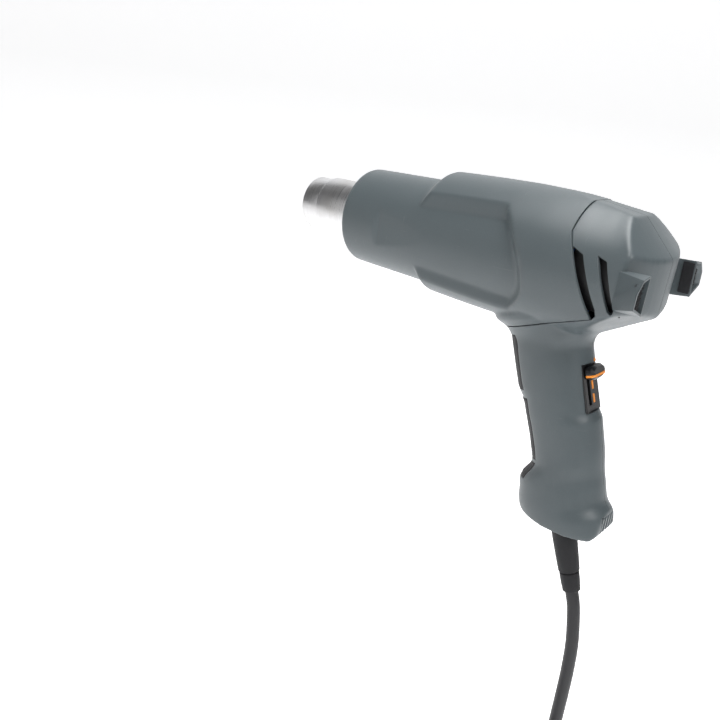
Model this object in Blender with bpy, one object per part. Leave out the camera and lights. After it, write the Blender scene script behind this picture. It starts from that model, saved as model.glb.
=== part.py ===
"""Two-stage heat gun with a pistol grip, nozzle towards -X, handle down, metres, +Z up.

The origin is the middle of the grip. Shapes are drawn in the gun's own lines: x runs back from the
nozzle tip and z up from the barrel axis. The handle has its own pair, s down the raked handle and
t forwards, square to it.
"""

import math

import bmesh
import bpy
import numpy as np
from mathutils import Matrix, Vector

for old in list(bpy.data.objects):
    bpy.data.objects.remove(old)

# Overall sizes
LENGTH = 0.2398
GRIP_DROP = 0.085
RAKE = math.radians(19.5)
HANDLE_START_X = 0.1682
BASE_Z = -0.1447
WALL = 0.0024
GAP = 0.0003
SEAM = 0.00015

# Hot end
TIP_RADIUS = 0.0170
STEP_X = 0.0132
TUBE_RADIUS = 0.0187
TUBE_WALL = 0.0008
TUBE_END = 0.1300
BARREL_START = 0.0440
BARREL_RIM_RADIUS = 0.0292
BARREL_END_RADIUS = 0.0330
BARREL_END = 0.1780
RAISED_START = 0.0990
RAISED_RISE = 0.0012
SLEEVE_RADII = ((0.1060, 0.0359), (0.1200, 0.0366), (0.1360, 0.0373), (0.1580, 0.0379), (0.1780, 0.0377),
                (0.1952, 0.0371), (0.2400, 0.0362))
REAR_RADII = ((0.1200, 0.0360), (0.1500, 0.0372), (0.1960, 0.0365), (0.2040, 0.0356), (0.2140, 0.0348), (0.2400, 0.0340))
BARREL_WALL = 0.0026
WINDOW_DEPTH_Y = 0.0258
PANEL_START = 0.0715
PANEL_DEPTH = 0.0017
PANEL_LENGTH = 0.0380

# Split between the front sleeve and the rear shells, and the rear facets (x, z)
SPLIT_TOP_X = 0.1952
SPLIT_BEND_Z = 0.0230
SPLIT_LOW = (0.2146, -0.0178)
SPLIT_CHIN = (0.1500, -0.0440)
KNEE_TOP = (0.2196, 0.0334)
KNEE_REAR = (0.2377, 0.0146)
REAR_LOW = (0.2366, -0.0162)
NECK = (0.2040, -0.0350)
CHEEK_ROUND = 0.083
REAR_ROUND = 0.061
CHEEK_TOUCHES = (0.0, 0.0170, 0.0300)
SLEEVE_REACH = 0.0374
SPIGOT = 0.0080
SPIGOT_WALL = 0.0019

# Intake scoops: (y, z) corners of the rear face and of the root
SCOOP_FACE = ((0.0330, 0.0110), (0.0415, 0.0098), (0.0472, 0.0036), (0.0476, -0.0038), (0.0345, -0.0087))
SCOOP_ROOT = ((0.0325, 0.0095), (0.0338, 0.0088), (0.0350, 0.0030), (0.0350, -0.0030), (0.0328, -0.0070))
SCOOP_ROOT_X = 0.2220
SCOOP_RIM = 0.0013
GRILLE_DEPTH = 0.0012
GRILLE_THICK = 0.0012
PAD_THICK = 0.0012

# Handle
HANDLE_HALF_WIDTH = 0.0180
BASE_HALF_WIDTH = 0.0218
HANDLE_TOP_S = 0.0270
HANDLE_END_S = 0.1660
GRIP_HALF_WIDTH = 0.0140
GRIP_DEPTH = 0.0019
GRIP_UPPER = (0.0400, 0.0715)
GRIP_LOWER = (0.0765, 0.1125)
TOE_PAD = (0.1142, 0.1240)
FOOT_X = 0.2368
FOOT_LOW_X = 0.2338
FOOT_LOW_Z = -0.1412
FOOT_TOP_Z = -0.1310
FOOT_HALF_WIDTH = 0.0078
FOOT_DEPTH = 0.0020
FOOT_RIBS = 4
FOOT_RIB = 0.0008

# Switch, in the handle's s and t
POCKET_S = (0.0595, 0.0868)
SWITCH_HALF_WIDTH = 0.0086
PLATE_T = -0.0196
PLATE_THICK = 0.0020
KNOB_S = 0.0646
KNOB_HALF_WIDTH = 0.0082
KNOB_HALF_HEIGHT = 0.0043
KNOB_RISE = 0.0056
STROKE = 0.0152
STAGES = 2
STEM_WIDTH = 0.0026
STEM_Y = -0.0034
MARK_Y = 0.0014

# Inside
HEATER_START = 0.0180
HEATER_END = 0.1220
HEATER_RADIUS = 0.0115
WIRE_RADIUS = 0.0006
WINDING_TURNS = 11
MICA_RADIUS = 0.0166
SHIELD_RADIUS = 0.0225
FAN_X = 0.1660
FAN_WIDTH = 0.0120
FAN_RADIUS = 0.0252
FAN_BLADES = 7
SHROUD_RADIUS = 0.0280
MOTOR_START = 0.1860
MOTOR_LENGTH = 0.0300
MOTOR_RADIUS = 0.0138
SHAFT_RADIUS = 0.0015
BOSS_RADIUS = 0.0042
SCREW_RADIUS = 0.0010
HEAD_RADIUS = 0.0028
HEAD_HEIGHT = 0.0020
CLAMP_S = 0.1280
CLAMP_REACH = 0.0078
DOT_S = 0.0585
DOT_Y = 0.0022

# Lead
CORD_DIAMETER = 0.0078
RELIEF_T = 0.0080
RELIEF_S = (0.1395, 0.1960)
RELIEF_RADIUS = (0.0073, 0.0056)
CORD_START_S = 0.1860
COIL_RADIUS = 0.0430
COIL_COLUMNS = 2
COIL_LAYERS = 3
COIL_CENTRE_Y = -0.0950
FLOOR_Z = -0.3600
PLUG_LENGTH = 0.0420
PLUG_HALF_WIDTH = 0.0165
PLUG_HALF_HEIGHT = 0.0115
PIN_RADIUS = 0.0024
PIN_LENGTH = 0.0190
PIN_SPACING = 0.0190

DOWN = Vector((math.sin(RAKE), 0.0, -math.cos(RAKE)))
FORWARD = Vector((-math.cos(RAKE), 0.0, -math.sin(RAKE)))
SIDE = Vector((0.0, 1.0, 0.0))


def on_handle(s, t, y=0.0):
    """A point of the gun from the handle's own lines."""
    return Vector((HANDLE_START_X, y, 0.0)) + DOWN * s + FORWARD * t


GRIP = Vector((HANDLE_START_X + GRIP_DROP * math.tan(RAKE), 0.0, -GRIP_DROP))
gun = bpy.data.objects.new("gun", None)
gun.location = -GRIP
bpy.context.scene.collection.objects.link(gun)


# Materials

def material(name, colour, roughness, metallic=0.0):
    made = bpy.data.materials.new(name)
    made.use_nodes = True
    shader = made.node_tree.nodes["Principled BSDF"]
    shader.inputs["Base Color"].default_value = (*colour, 1.0)
    shader.inputs["Roughness"].default_value = roughness
    shader.inputs["Metallic"].default_value = metallic
    made.diffuse_color = (*colour, 1.0)
    return made


GREY = material("grey_housing", (0.155, 0.180, 0.185), 0.50)
RUBBER = material("black_rubber", (0.012, 0.012, 0.014), 0.70)
BLACK = material("black_plastic", (0.014, 0.014, 0.016), 0.40)
ORANGE = material("orange_plastic", (0.850, 0.280, 0.020), 0.40)
STEEL = material("bright_steel", (0.620, 0.610, 0.600), 0.22, 1.0)
CERAMIC = material("ceramic", (0.780, 0.760, 0.700), 0.80)
MICA = material("mica", (0.560, 0.480, 0.330), 0.55)
WIRE = material("heater_wire", (0.300, 0.280, 0.260), 0.35, 1.0)
BOARD = material("circuit_board", (0.060, 0.190, 0.080), 0.45)
INSULATION = material("lead_insulation", (0.050, 0.160, 0.420), 0.50)


# Builders

def finish(name, bm, mat, smooth=math.radians(30)):
    """Make the object from a bmesh, facing out, and put it under the gun's empty."""
    bmesh.ops.recalc_face_normals(bm, faces=bm.faces)
    if bm.calc_volume(signed=True) < 0:
        bmesh.ops.reverse_faces(bm, faces=bm.faces)
    mesh = bpy.data.meshes.new(name)
    bm.to_mesh(mesh)
    bm.free()
    made = bpy.data.objects.new(name, mesh)
    bpy.context.scene.collection.objects.link(made)
    made.parent = gun
    mesh.materials.append(mat)
    mesh.shade_smooth()
    mesh.set_sharp_from_angle(angle=smooth)
    return made


def loft(name, rings, mat, around=False):
    """Skin equal rings of points; the ends are capped, or joined when the rings run around."""
    bm = bmesh.new()
    rows = [[bm.verts.new(point) for point in ring] for ring in rings]
    pairs = list(zip(rows, rows[1:]))
    if around:
        pairs.append((rows[-1], rows[0]))
    else:
        bm.faces.new(rows[0])
        bm.faces.new(reversed(rows[-1]))
    for first, second in pairs:
        for i in range(len(first)):
            j = (i + 1) % len(first)
            bm.faces.new((first[j], first[i], second[i], second[j]))
    return finish(name, bm, mat)


def turned(name, profile, mat, segments=28, place=None):
    """Turn a closed (along, radius) outline about the barrel axis, or about a place's own X axis."""
    bm = bmesh.new()
    points = [bm.verts.new((along, 0.0, radius)) for along, radius in profile]
    edges = [bm.edges.new(pair) for pair in zip(points, points[1:])]
    if all(radius > 0 for _, radius in profile):
        edges.append(bm.edges.new((points[-1], points[0])))
    bmesh.ops.spin(
        bm, geom=points + edges, axis=(1, 0, 0), cent=(0, 0, 0), angle=2 * math.pi, steps=segments, use_merge=True
    )
    bmesh.ops.remove_doubles(bm, verts=bm.verts, dist=1e-6)
    if place is not None:
        bm.transform(place)
    return finish(name, bm, mat)


def tube(name, start, end, outer, inner, mat, segments=28, place=None):
    return turned(name, [(start, inner), (start, outer), (end, outer), (end, inner)], mat, segments, place)


def rod(name, start, end, radius, mat, segments=16, place=None):
    return turned(name, [(start, 0.0), (start, radius), (end, radius), (end, 0.0)], mat, segments, place)


def prism(name, outline, low, high, mat=GREY, place=None):
    """Extrude an (x, z) outline across the gun from y = low to y = high."""
    rings = [[Vector((x, y, z)) for x, z in outline] for y in (low, high)]
    if place is not None:
        rings = [[place @ point for point in ring] for ring in rings]
    return loft(name, rings, mat)


def box(name, low, high, mat=GREY, place=None):
    outline = ((low[0], low[2]), (high[0], low[2]), (high[0], high[2]), (low[0], high[2]))
    return prism(name, outline, low[1], high[1], mat, place)


def axes(origin, x_axis, z_axis):
    """A matrix whose X and Z axes are the given directions."""
    x_axis = x_axis.normalized()
    z_axis = z_axis.normalized()
    turn = Matrix((x_axis, z_axis.cross(x_axis), z_axis)).transposed()
    return Matrix.Translation(origin) @ turn.to_4x4()


def combine(base, other, operation, keep=False):
    """Boolean two objects and keep the result in the first."""
    modifier = base.modifiers.new(operation, "BOOLEAN")
    modifier.operation = operation
    modifier.object = other
    modifier.solver = "EXACT"
    graph = bpy.context.evaluated_depsgraph_get()
    result = bpy.data.meshes.new_from_object(base.evaluated_get(graph))
    base.modifiers.clear()
    base.data = result
    if not keep:
        bpy.data.objects.remove(other)
    return base


def cut(base, other, keep=False):
    return combine(base, other, "DIFFERENCE", keep)


def join(base, other, keep=False):
    return combine(base, other, "UNION", keep)


def common(base, other, keep=False):
    return combine(base, other, "INTERSECT", keep)


def mirrored(source, name):
    """The same piece on the gun's other side."""
    bm = bmesh.new()
    bm.from_mesh(source.data)
    bm.transform(Matrix.Scale(-1, 4, SIDE))
    return finish(name, bm, source.data.materials[0])


def pivot(made, point):
    """Put a moving piece's origin on its joint's axis."""
    made.data.transform(Matrix.Translation(-point))
    made.location = point


def blend(value, knots):
    """A smooth curve through (position, value) knots."""
    positions = [knot[0] for knot in knots]
    values = [knot[1] for knot in knots]
    if value <= positions[0]:
        return values[0]
    if value >= positions[-1]:
        return values[-1]
    i = max(k for k, position in enumerate(positions) if position <= value)
    part = (value - positions[i]) / (positions[i + 1] - positions[i])
    part = part * part * (3 - 2 * part)
    return values[i] + (values[i + 1] - values[i]) * part


# Outer surfaces, shared by the sleeve and the two shells

ROUND = 40
BIG = 0.200


LIFT = Matrix.Translation((0.0, 0.0, RAISED_RISE))


def barrel_radius(x):
    part = (x - BARREL_START) / (BARREL_END - BARREL_START)
    return BARREL_RIM_RADIUS + (BARREL_END_RADIUS - BARREL_RIM_RADIUS) * part


def barrel_solid(name):
    rim = 0.0030
    profile = [(BARREL_START, 0.0), (BARREL_START, BARREL_RIM_RADIUS - rim)]
    profile.append((BARREL_START + 0.3 * rim, BARREL_RIM_RADIUS - 0.3 * rim))
    profile.append((BARREL_START + rim, barrel_radius(BARREL_START + rim)))
    profile += [(BARREL_END, BARREL_END_RADIUS), (BARREL_END, 0.0)]
    half_step = Matrix.Rotation(math.pi / ROUND, 4, "X")
    return turned(name, profile, GREY, ROUND, half_step)


def rounded_face(low, high, radius):
    """Planes touching a face that arches across the gun: (point, normal) on both sides of the seam."""
    low, high = Vector((low[0], 0.0, low[1])), Vector((high[0], 0.0, high[1]))
    along = high - low
    outward = Vector((-along.z, 0.0, along.x)).normalized()
    if outward.dot(low - Vector((SPLIT_TOP_X, 0.0, 0.0))) < 0:
        outward = -outward
    planes = []
    for touch in CHEEK_TOUCHES:
        tilt = math.asin(touch / radius)
        for side in (1, -1) if touch else (1,):
            normal = outward * math.cos(tilt) + SIDE * side * math.sin(tilt)
            planes.append(((low + high) / 2 + (normal - outward) * radius, normal))
    return planes


def raised_solid(name, grow=0.0, radii=REAR_RADII):
    """The raised round body, its rear end cut by the arched faces on each side of the seam."""
    profile = [(RAISED_START, 0.0), (RAISED_START, barrel_radius(RAISED_START) - 0.0008 + grow)]
    profile += [(x, radius + grow) for x, radius in radii]
    profile += [(LENGTH + 0.010, radii[-1][1] + grow), (LENGTH + 0.010, 0.0)]
    made = turned(name, profile, GREY, ROUND, LIFT)
    bm = bmesh.new()
    bm.from_mesh(made.data)
    bpy.data.objects.remove(made)
    planes = rounded_face(KNEE_TOP, KNEE_REAR, CHEEK_ROUND) + rounded_face(KNEE_REAR, REAR_LOW, REAR_ROUND)
    split_top = (SPLIT_TOP_X, 0.0369)
    planes += rounded_face(split_top, KNEE_TOP, CHEEK_ROUND)[:1]
    neck = Vector((NECK[0], 0.0, NECK[1]))
    rear_low = Vector((REAR_LOW[0], 0.0, REAR_LOW[1]))
    for side in (1, -1):
        low_side = Vector((REAR_LOW[0] - 0.0100, side * 0.0345, REAR_LOW[1] + 0.0045))
        planes.append((neck, -(rear_low - neck).cross(low_side - neck).normalized() * side))
    for point, normal in planes:
        if normal.dot(point - Vector((0.200, 0.0, 0.0))) < 0:
            normal = -normal
        cleared = bmesh.ops.bisect_plane(
            bm,
            geom=list(bm.verts) + list(bm.edges) + list(bm.faces),
            plane_co=point + normal * grow,
            plane_no=normal,
            clear_outer=True,
        )
        rim = [item for item in cleared["geom_cut"] if isinstance(item, bmesh.types.BMEdge)]
        bmesh.ops.contextual_create(bm, geom=rim)
    return finish(name, bm, GREY)


FRONT_KNOTS = ((0.060, 0.0233), (0.070, 0.0231), (0.0775, 0.0207), (0.1050, 0.0199), (0.1135, 0.0201),
               (0.1250, 0.0302), (0.1390, 0.0325), (0.1500, 0.0315))
REAR_KNOTS = ((0.050, 0.0224), (0.0868, 0.0210), (0.0910, 0.0226), (0.104, 0.0220), (0.127, 0.0200),
              (0.139, 0.0193), (0.147, 0.0222), (0.160, 0.0228))
WIDTH_KNOTS = ((0.105, HANDLE_HALF_WIDTH), (0.150, BASE_HALF_WIDTH))
SIDE_FILLET = 0.0280
SIDE_FILLET_S = 0.0490
REAR_FILLET = 0.0090
REAR_FILLET_S = 0.0520
CHIN_FILLET = 0.0120
CHIN_FILLET_S = 0.0420


def fillet(s, start, radius, most):
    """How far a concave round stands out at s, above the point where it leaves the handle."""
    rise = min(max(start - s, 0.0), most * radius)
    return radius - math.sqrt(radius * radius - rise * rise)


def handle_section(s, grow=0.0, flare=True):
    """Half width, reach to the front and reach to the rear of the handle at s."""
    front = blend(s, FRONT_KNOTS)
    rear = blend(s, REAR_KNOTS)
    width = blend(s, WIDTH_KNOTS)
    if flare:
        width += fillet(s, SIDE_FILLET_S, SIDE_FILLET, 0.72)
        rear += fillet(s, REAR_FILLET_S, REAR_FILLET, 0.98)
        front += fillet(s, CHIN_FILLET_S, CHIN_FILLET, 0.92)
    return width + grow, front + grow, rear + grow


def handle_solid(name, start=HANDLE_TOP_S, end=HANDLE_END_S, grow=0.0, flare=True, around=32):
    stations = [start, 0.030, 0.034, 0.038, 0.0425, 0.047, 0.052, 0.060, 0.070, 0.080, 0.100]
    stations += [0.0868, 0.0910, 0.1135, 0.1165, 0.1215, 0.1250, 0.133, 0.1390, 0.143, 0.147, 0.151, end]
    stations.sort()
    stations = [s for s in stations if start <= s <= end]
    rings = []
    for s in stations:
        width, front, rear = handle_section(s, grow, flare)
        ring = []
        for k in range(around):
            angle = 2 * math.pi * k / around
            t = (front - rear) / 2 + (front + rear) / 2 * math.cos(angle)
            ring.append(on_handle(s, t, width * math.sin(angle)))
        rings.append(ring)
    made = loft(name, rings, GREY)
    chamfer = ((FOOT_LOW_X, BASE_Z), (FOOT_X, FOOT_LOW_Z), (FOOT_X, -0.100), (BIG * 2, -0.100), (BIG * 2, -BIG),
               (FOOT_LOW_X, -BIG))
    shift = -grow
    cut(made, prism("chamfer", [(x - shift, z + shift) for x, z in chamfer], -BIG, BIG))
    return cut(made, box("below", (0, -BIG, -BIG), (BIG * 2, BIG, BASE_Z - grow)))


def split_region(name, back, gap):
    """Everything in front of the split line, or behind it, less the gap."""
    bend_x = SPLIT_TOP_X
    edge = [(bend_x, 0.060), (bend_x, SPLIT_BEND_Z), SPLIT_LOW, SPLIT_CHIN]
    offset = gap if back else -gap
    edge = [(x + offset, z - offset) for x, z in edge]
    edge[0] = (edge[0][0], 0.060)
    chin = (edge[3][0] - 0.060, edge[3][1] - 0.025)
    if back:
        outline = edge[:3] + [edge[3], chin, (0.09, -BIG), (0.30, -BIG), (0.30, 0.060)]
    else:
        outline = edge[:3] + [edge[3], chin, (0.0, chin[1]), (0.0, 0.060)]
    return prism(name, outline, -BIG, BIG)


# Front sleeve

def make_sleeve():
    raised = raised_solid("raised", radii=SLEEVE_RADII)
    inner, outer = WINDOW_DEPTH_Y, 0.0420
    for side in (-1, 1):
        near = ((0.060, -0.045), (0.060, 0.045), (0.1560, 0.045), (0.1560, 0.0180), (0.1660, -0.0110), (0.1655, -0.045))
        far = ((0.060, -0.060), (0.060, 0.060), (0.1560, 0.060), (0.1720, 0.0200), (0.1860, -0.0190), (0.1790, -0.060))
        rings = [
            [Vector((x, side * inner, z)) for x, z in near],
            [Vector((x, side * outer, z)) for x, z in far],
        ]
        cut(raised, loft("window", rings, GREY))
    join(raised, handle_solid("skirt"))
    sleeve = join(barrel_solid("barrel_housing"), raised)
    cut(sleeve, split_region("behind_split", True, -GAP / 2))
    slim = BARREL_END - 0.001
    hollow = [(BARREL_START + 0.0024, 0.0), (BARREL_START + 0.0024, barrel_radius(BARREL_START) - BARREL_WALL)]
    hollow += [(slim + 0.004, barrel_radius(0.107) - BARREL_WALL + 0.0008), (slim + 0.004, 0.0)]
    cut(sleeve, turned("front_hollow", hollow, GREY, ROUND))
    cut(sleeve, rod("rear_hollow", slim, LENGTH, SLEEVE_REACH - WALL, GREY, ROUND, LIFT))
    cut(sleeve, rod("mouth", 0.030, 0.060, SHIELD_RADIUS + 0.0006, GREY, 28))
    for side in (-1, 1):
        edge = side * (barrel_radius(PANEL_START) - PANEL_DEPTH)
        back = side * (barrel_radius(PANEL_START + PANEL_LENGTH) + 0.0002)
        low, high = -0.0150, 0.0125
        wide = side * 0.045
        rings = [
            [Vector((PANEL_START, y, z)) for y, z in ((edge, low), (edge, high), (wide, high), (wide, low))],
            [Vector((PANEL_START + PANEL_LENGTH, y, z)) for y, z in ((back, low), (back, high), (wide, high), (wide, low))],
        ]
        cut(sleeve, loft("panel", rings, GREY))
    return sleeve


barrel_housing = make_sleeve()


# Rear shells

def scoop_ring(x, corners, grow):
    """One ring of a scoop: its corners moved out from their middle."""
    middle = Vector((0.0, sum(y for y, _ in corners) / len(corners), sum(z for _, z in corners) / len(corners)))
    ring = []
    for y, z in corners:
        away = Vector((0.0, y, z)) - middle
        point = middle + away * (1 + grow / away.length)
        ring.append(Vector((x, -point.y, point.z)))
    return ring


def scoop_corners(x):
    """The scoop's corners part way between its root and its rear face."""
    part = (x - SCOOP_ROOT_X) / (LENGTH - SCOOP_ROOT_X)
    part = min(max(part, 0.0), 1.0)
    return [(a + (c - a) * part, b + (d - b) * part) for (a, b), (c, d) in zip(SCOOP_ROOT, SCOOP_FACE)]


def slot(name, points):
    return prism(name, [(x / 1000, z / 1000) for x, z in points], -0.060, -0.020)


def make_shells():
    shell = join(raised_solid("left_shell"), handle_solid("grip"))
    common(shell, box("left_half", (0, -BIG, -BIG), (BIG * 2, -SEAM, BIG)))
    scoop = [scoop_ring(SCOOP_ROOT_X, SCOOP_ROOT, 0.0), scoop_ring(LENGTH, SCOOP_FACE, 0.0)]
    join(shell, loft("scoop", scoop, GREY))
    common(shell, split_region("rear_region", True, GAP / 2))
    hollow = raised_solid("hollow", -WALL)
    common(hollow, box("hollow_from", (0.150, -BIG, -BIG), (BIG * 2, BIG, BIG)))
    join(hollow, handle_solid("hollow_grip", 0.030, 0.1490, -GRIP_DEPTH - 0.0016, False))
    cut(shell, hollow)
    cut(shell, slot("slot_1", ((194.5, 15.8), (199.6, 15.8), (204.9, 13.4), (209.0, 4.6), (216.2, -12.0),
                               (216.5, -15.5), (214.7, -17.6), (209.0, -17.6))))
    cut(shell, slot("slot_2", ((212.3, 14.3), (217.4, 12.6), (221.7, 2.1), (226.0, -9.4), (225.6, -11.8),
                               (224.2, -12.5), (222.6, -11.0), (215.3, 6.5))))
    reach = SLEEVE_REACH - WALL - 0.0006
    lip = tube("lip", SPLIT_TOP_X - SPIGOT, SPLIT_TOP_X + 0.0034, reach, reach - SPIGOT_WALL, GREY, ROUND, LIFT)
    cut(lip, box("lip_below", (0.150, -BIG, -BIG), (BIG * 2, BIG, -0.010)))
    web = tube("web", SPLIT_TOP_X + 0.0008, SPLIT_TOP_X + 0.0029, reach + 0.0012, reach - 0.0010, GREY, ROUND, LIFT)
    cut(web, box("web_below", (0.150, -BIG, -BIG), (BIG * 2, BIG, SPLIT_BEND_Z + 0.0015)))
    lip = common(join(lip, web), box("lip_half", (0, -BIG, -BIG), (BIG * 2, -SEAM, BIG)))
    join(shell, lip)
    duct = [scoop_ring(x, SCOOP_ROOT, -SCOOP_RIM * 0.6) for x in (SCOOP_ROOT_X - 0.004, SCOOP_ROOT_X)]
    duct += [scoop_ring(x, scoop_corners(x), -SCOOP_RIM) for x in (LENGTH - 0.006, LENGTH, LENGTH + 0.001)]
    cut(shell, loft("duct", duct, GREY))
    place = axes(on_handle(0, 0), DOWN, -FORWARD)
    cut(shell, box("switch_opening", (POCKET_S[0], -SWITCH_HALF_WIDTH, 0.0100), (POCKET_S[1], SWITCH_HALF_WIDTH, 0.040),
                   GREY, place))
    cut(shell, rod("relief_hole", RELIEF_S[0] + 0.0035, RELIEF_S[1], RELIEF_RADIUS[0] + GAP, GREY, 20,
                   axes(on_handle(0, RELIEF_T), DOWN, FORWARD)))
    for low, high in (GRIP_UPPER, GRIP_LOWER, TOE_PAD):
        pocket = box("pocket", (low, -GRIP_HALF_WIDTH, -0.060), (high, GRIP_HALF_WIDTH, -0.008), GREY, place)
        cut(shell, cut(pocket, handle_solid("pocket_floor", grow=-GRIP_DEPTH, flare=False)))
    cut(shell, foot_block("foot_pocket", FOOT_DEPTH, -0.010, 0.0))
    for point, _ in SCREWS:
        post = rod("post", -0.045, -SEAM, BOSS_RADIUS, GREY, 16, across(point))
        core = join(raised_solid("core", -WALL / 2), handle_solid("core_grip", grow=-WALL, flare=False))
        join(shell, common(post, core))
    return shell


def foot_block(name, floor, face, margin):
    """The ribbed foot's block on the back of the base: floor and face are depths in from the skin."""
    top, low = FOOT_TOP_Z - margin, BASE_Z + 0.0012 + margin
    outline = ((FOOT_X - face, top), (FOOT_X - floor, top), (FOOT_X - floor, FOOT_LOW_Z), (FOOT_LOW_X - floor + margin, low),
               (FOOT_LOW_X - face + 0.0008, low), (FOOT_X - face, FOOT_LOW_Z))
    return prism(name, outline, -FOOT_HALF_WIDTH + margin, FOOT_HALF_WIDTH - margin)


def across(point):
    """A place whose X axis runs across the gun, through a point of the middle plane."""
    return axes(point, SIDE, Vector((0, 0, 1)))


# Where the housing screws go, and how far from the middle their heads sit
SCREWS = (
    (Vector((0.2185, 0.0, 0.0215)), 0.0190),
    (Vector((0.2225, 0.0, -0.0125)), 0.0190),
    (on_handle(0.0600, 0.0085), 0.0110),
    (on_handle(0.1080, 0.0060), 0.0110),
    (on_handle(0.1420, -0.0130), 0.0110),
)

left_shell = make_shells()
right_shell = mirrored(left_shell, "right_shell")


def make_fasteners():
    for k, (point, seat) in enumerate(SCREWS):
        place = across(point)
        cut(left_shell, rod("pilot", -0.0150, 0.010, SCREW_RADIUS + 0.0002, GREY, 10, place))
        cut(right_shell, rod("clearance", -0.010, 0.060, SCREW_RADIUS + 0.0005, GREY, 10, place))
        cut(right_shell, rod("counterbore", seat - GAP, 0.060, HEAD_RADIUS + GAP, GREY, 14, place))
        profile = [(-0.0140, 0.0), (-0.0130, SCREW_RADIUS), (seat, SCREW_RADIUS), (seat, HEAD_RADIUS)]
        profile += [(seat + HEAD_HEIGHT - 0.0005, HEAD_RADIUS), (seat + HEAD_HEIGHT, HEAD_RADIUS - 0.0006)]
        profile.append((seat + HEAD_HEIGHT, 0.0))
        turned(f"housing_screw_{k + 1}", profile, STEEL, 14, place)
    bar_low, bar_high = CORD_DIAMETER / 2 + GAP, CORD_DIAMETER / 2 + 0.0031
    place = axes(on_handle(0, 0), DOWN, -FORWARD)
    reach = CLAMP_REACH + 0.0036
    bar = box("cable_clamp", (CLAMP_S - 0.0035, bar_low, -RELIEF_T - reach), (CLAMP_S + 0.0035, bar_high, -RELIEF_T + reach),
              BLACK, place)
    for k, side in enumerate((-1, 1)):
        place = across(on_handle(CLAMP_S, RELIEF_T + side * CLAMP_REACH))
        join(left_shell, rod("clamp_post", -0.0185, bar_low - GAP, 0.0032, GREY, 14, place))
        cut(left_shell, rod("clamp_pilot", -0.0080, 0.020, SCREW_RADIUS + 0.0002, GREY, 10, place))
        cut(bar, rod("clamp_hole", 0.0, 0.020, SCREW_RADIUS + GAP, BLACK, 10, place))
        head = bar_high + GAP
        profile = [(-0.0070, 0.0), (-0.0062, SCREW_RADIUS), (head, SCREW_RADIUS), (head, 0.0022), (head + 0.0016, 0.0022)]
        profile.append((head + 0.0016, 0.0))
        turned(f"clamp_screw_{k + 1}", profile, STEEL, 12, place)
    surface = handle_section(DOT_S)[2]
    place = axes(on_handle(DOT_S, 0.0, DOT_Y), -FORWARD, DOWN)
    cut(right_shell, rod("dot_seat", surface - 0.0012, surface + 0.004, 0.0013, GREY, 12, place))
    rod("off_dot", surface - 0.0009, surface + 0.0001, 0.0011, ORANGE, 12, place)


make_fasteners()


# Hot end

def make_hot_end():
    place_tube = [(0.0, TIP_RADIUS - TUBE_WALL), (0.0, TIP_RADIUS), (STEP_X, TIP_RADIUS), (STEP_X, TUBE_RADIUS)]
    place_tube += [(TUBE_END, TUBE_RADIUS), (TUBE_END, TUBE_RADIUS - TUBE_WALL)]
    place_tube += [(STEP_X + TUBE_WALL, TUBE_RADIUS - TUBE_WALL), (STEP_X + TUBE_WALL, TIP_RADIUS - TUBE_WALL)]
    turned("nozzle_tube", place_tube, STEEL, 36)
    bore = TUBE_RADIUS + GAP
    seat = barrel_radius(BARREL_START) - BARREL_WALL - GAP
    front = BARREL_START + 0.0027
    ring = [(front, bore), (front, seat - 0.0010), (front + 0.0010, seat), (front + 0.0080, seat), (front + 0.0080, bore)]
    turned("front_ring", ring, BLACK, 28)
    tube("heat_shield", 0.0600, TUBE_END - 0.004, SHIELD_RADIUS, SHIELD_RADIUS - TUBE_WALL, STEEL)
    tube("mica_sleeve", STEP_X + 0.0030, HEATER_END, MICA_RADIUS, MICA_RADIUS - 0.0006, MICA)
    core = rod("heater_core", HEATER_START, HEATER_END, 0.0042, CERAMIC, 12)
    for k in range(3):
        arm = box("arm", (HEATER_START + 0.001, -0.0013, -HEATER_RADIUS), (HEATER_END - 0.001, 0.0013, HEATER_RADIUS),
                  CERAMIC, Matrix.Rotation(k * math.pi / 3, 4, "X"))
        join(core, arm)
    curve = bpy.data.curves.new("heater_winding", "CURVE")
    curve.dimensions = "3D"
    steps = WINDING_TURNS * 14
    spline = curve.splines.new("POLY")
    spline.points.add(steps)
    wind = HEATER_RADIUS + WIRE_RADIUS + 2 * GAP
    for k in range(steps + 1):
        angle = 2 * math.pi * k / 14
        x = HEATER_START + 0.006 + (HEATER_END - HEATER_START - 0.012) * k / steps
        spline.points[k].co = (x, wind * math.cos(angle), wind * math.sin(angle), 1.0)
    curve.bevel_depth = WIRE_RADIUS
    curve.bevel_resolution = 0
    curve.use_fill_caps = True
    winding = bpy.data.objects.new("heater_winding", curve)
    winding.parent = gun
    bpy.context.scene.collection.objects.link(winding)
    curve.materials.append(WIRE)
    flange = tube("heater_flange", TUBE_END + GAP, TUBE_END + 0.0025, SHROUD_RADIUS, 0.0100, MICA)
    for k in range(4):
        angle = math.pi / 4 + k * math.pi / 2
        place = Matrix.Translation((0, 0.0152 * math.cos(angle), 0.0152 * math.sin(angle)))
        cut(flange, rod("air_hole", 0.120, 0.140, 0.0042, MICA, 12, place))
    rod("thermal_cutout", TUBE_END + 0.0028, TUBE_END + 0.0070, 0.0036, STEEL, 14, Matrix.Translation((0, 0.0225, 0)))


make_hot_end()


# Fan and motor

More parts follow.
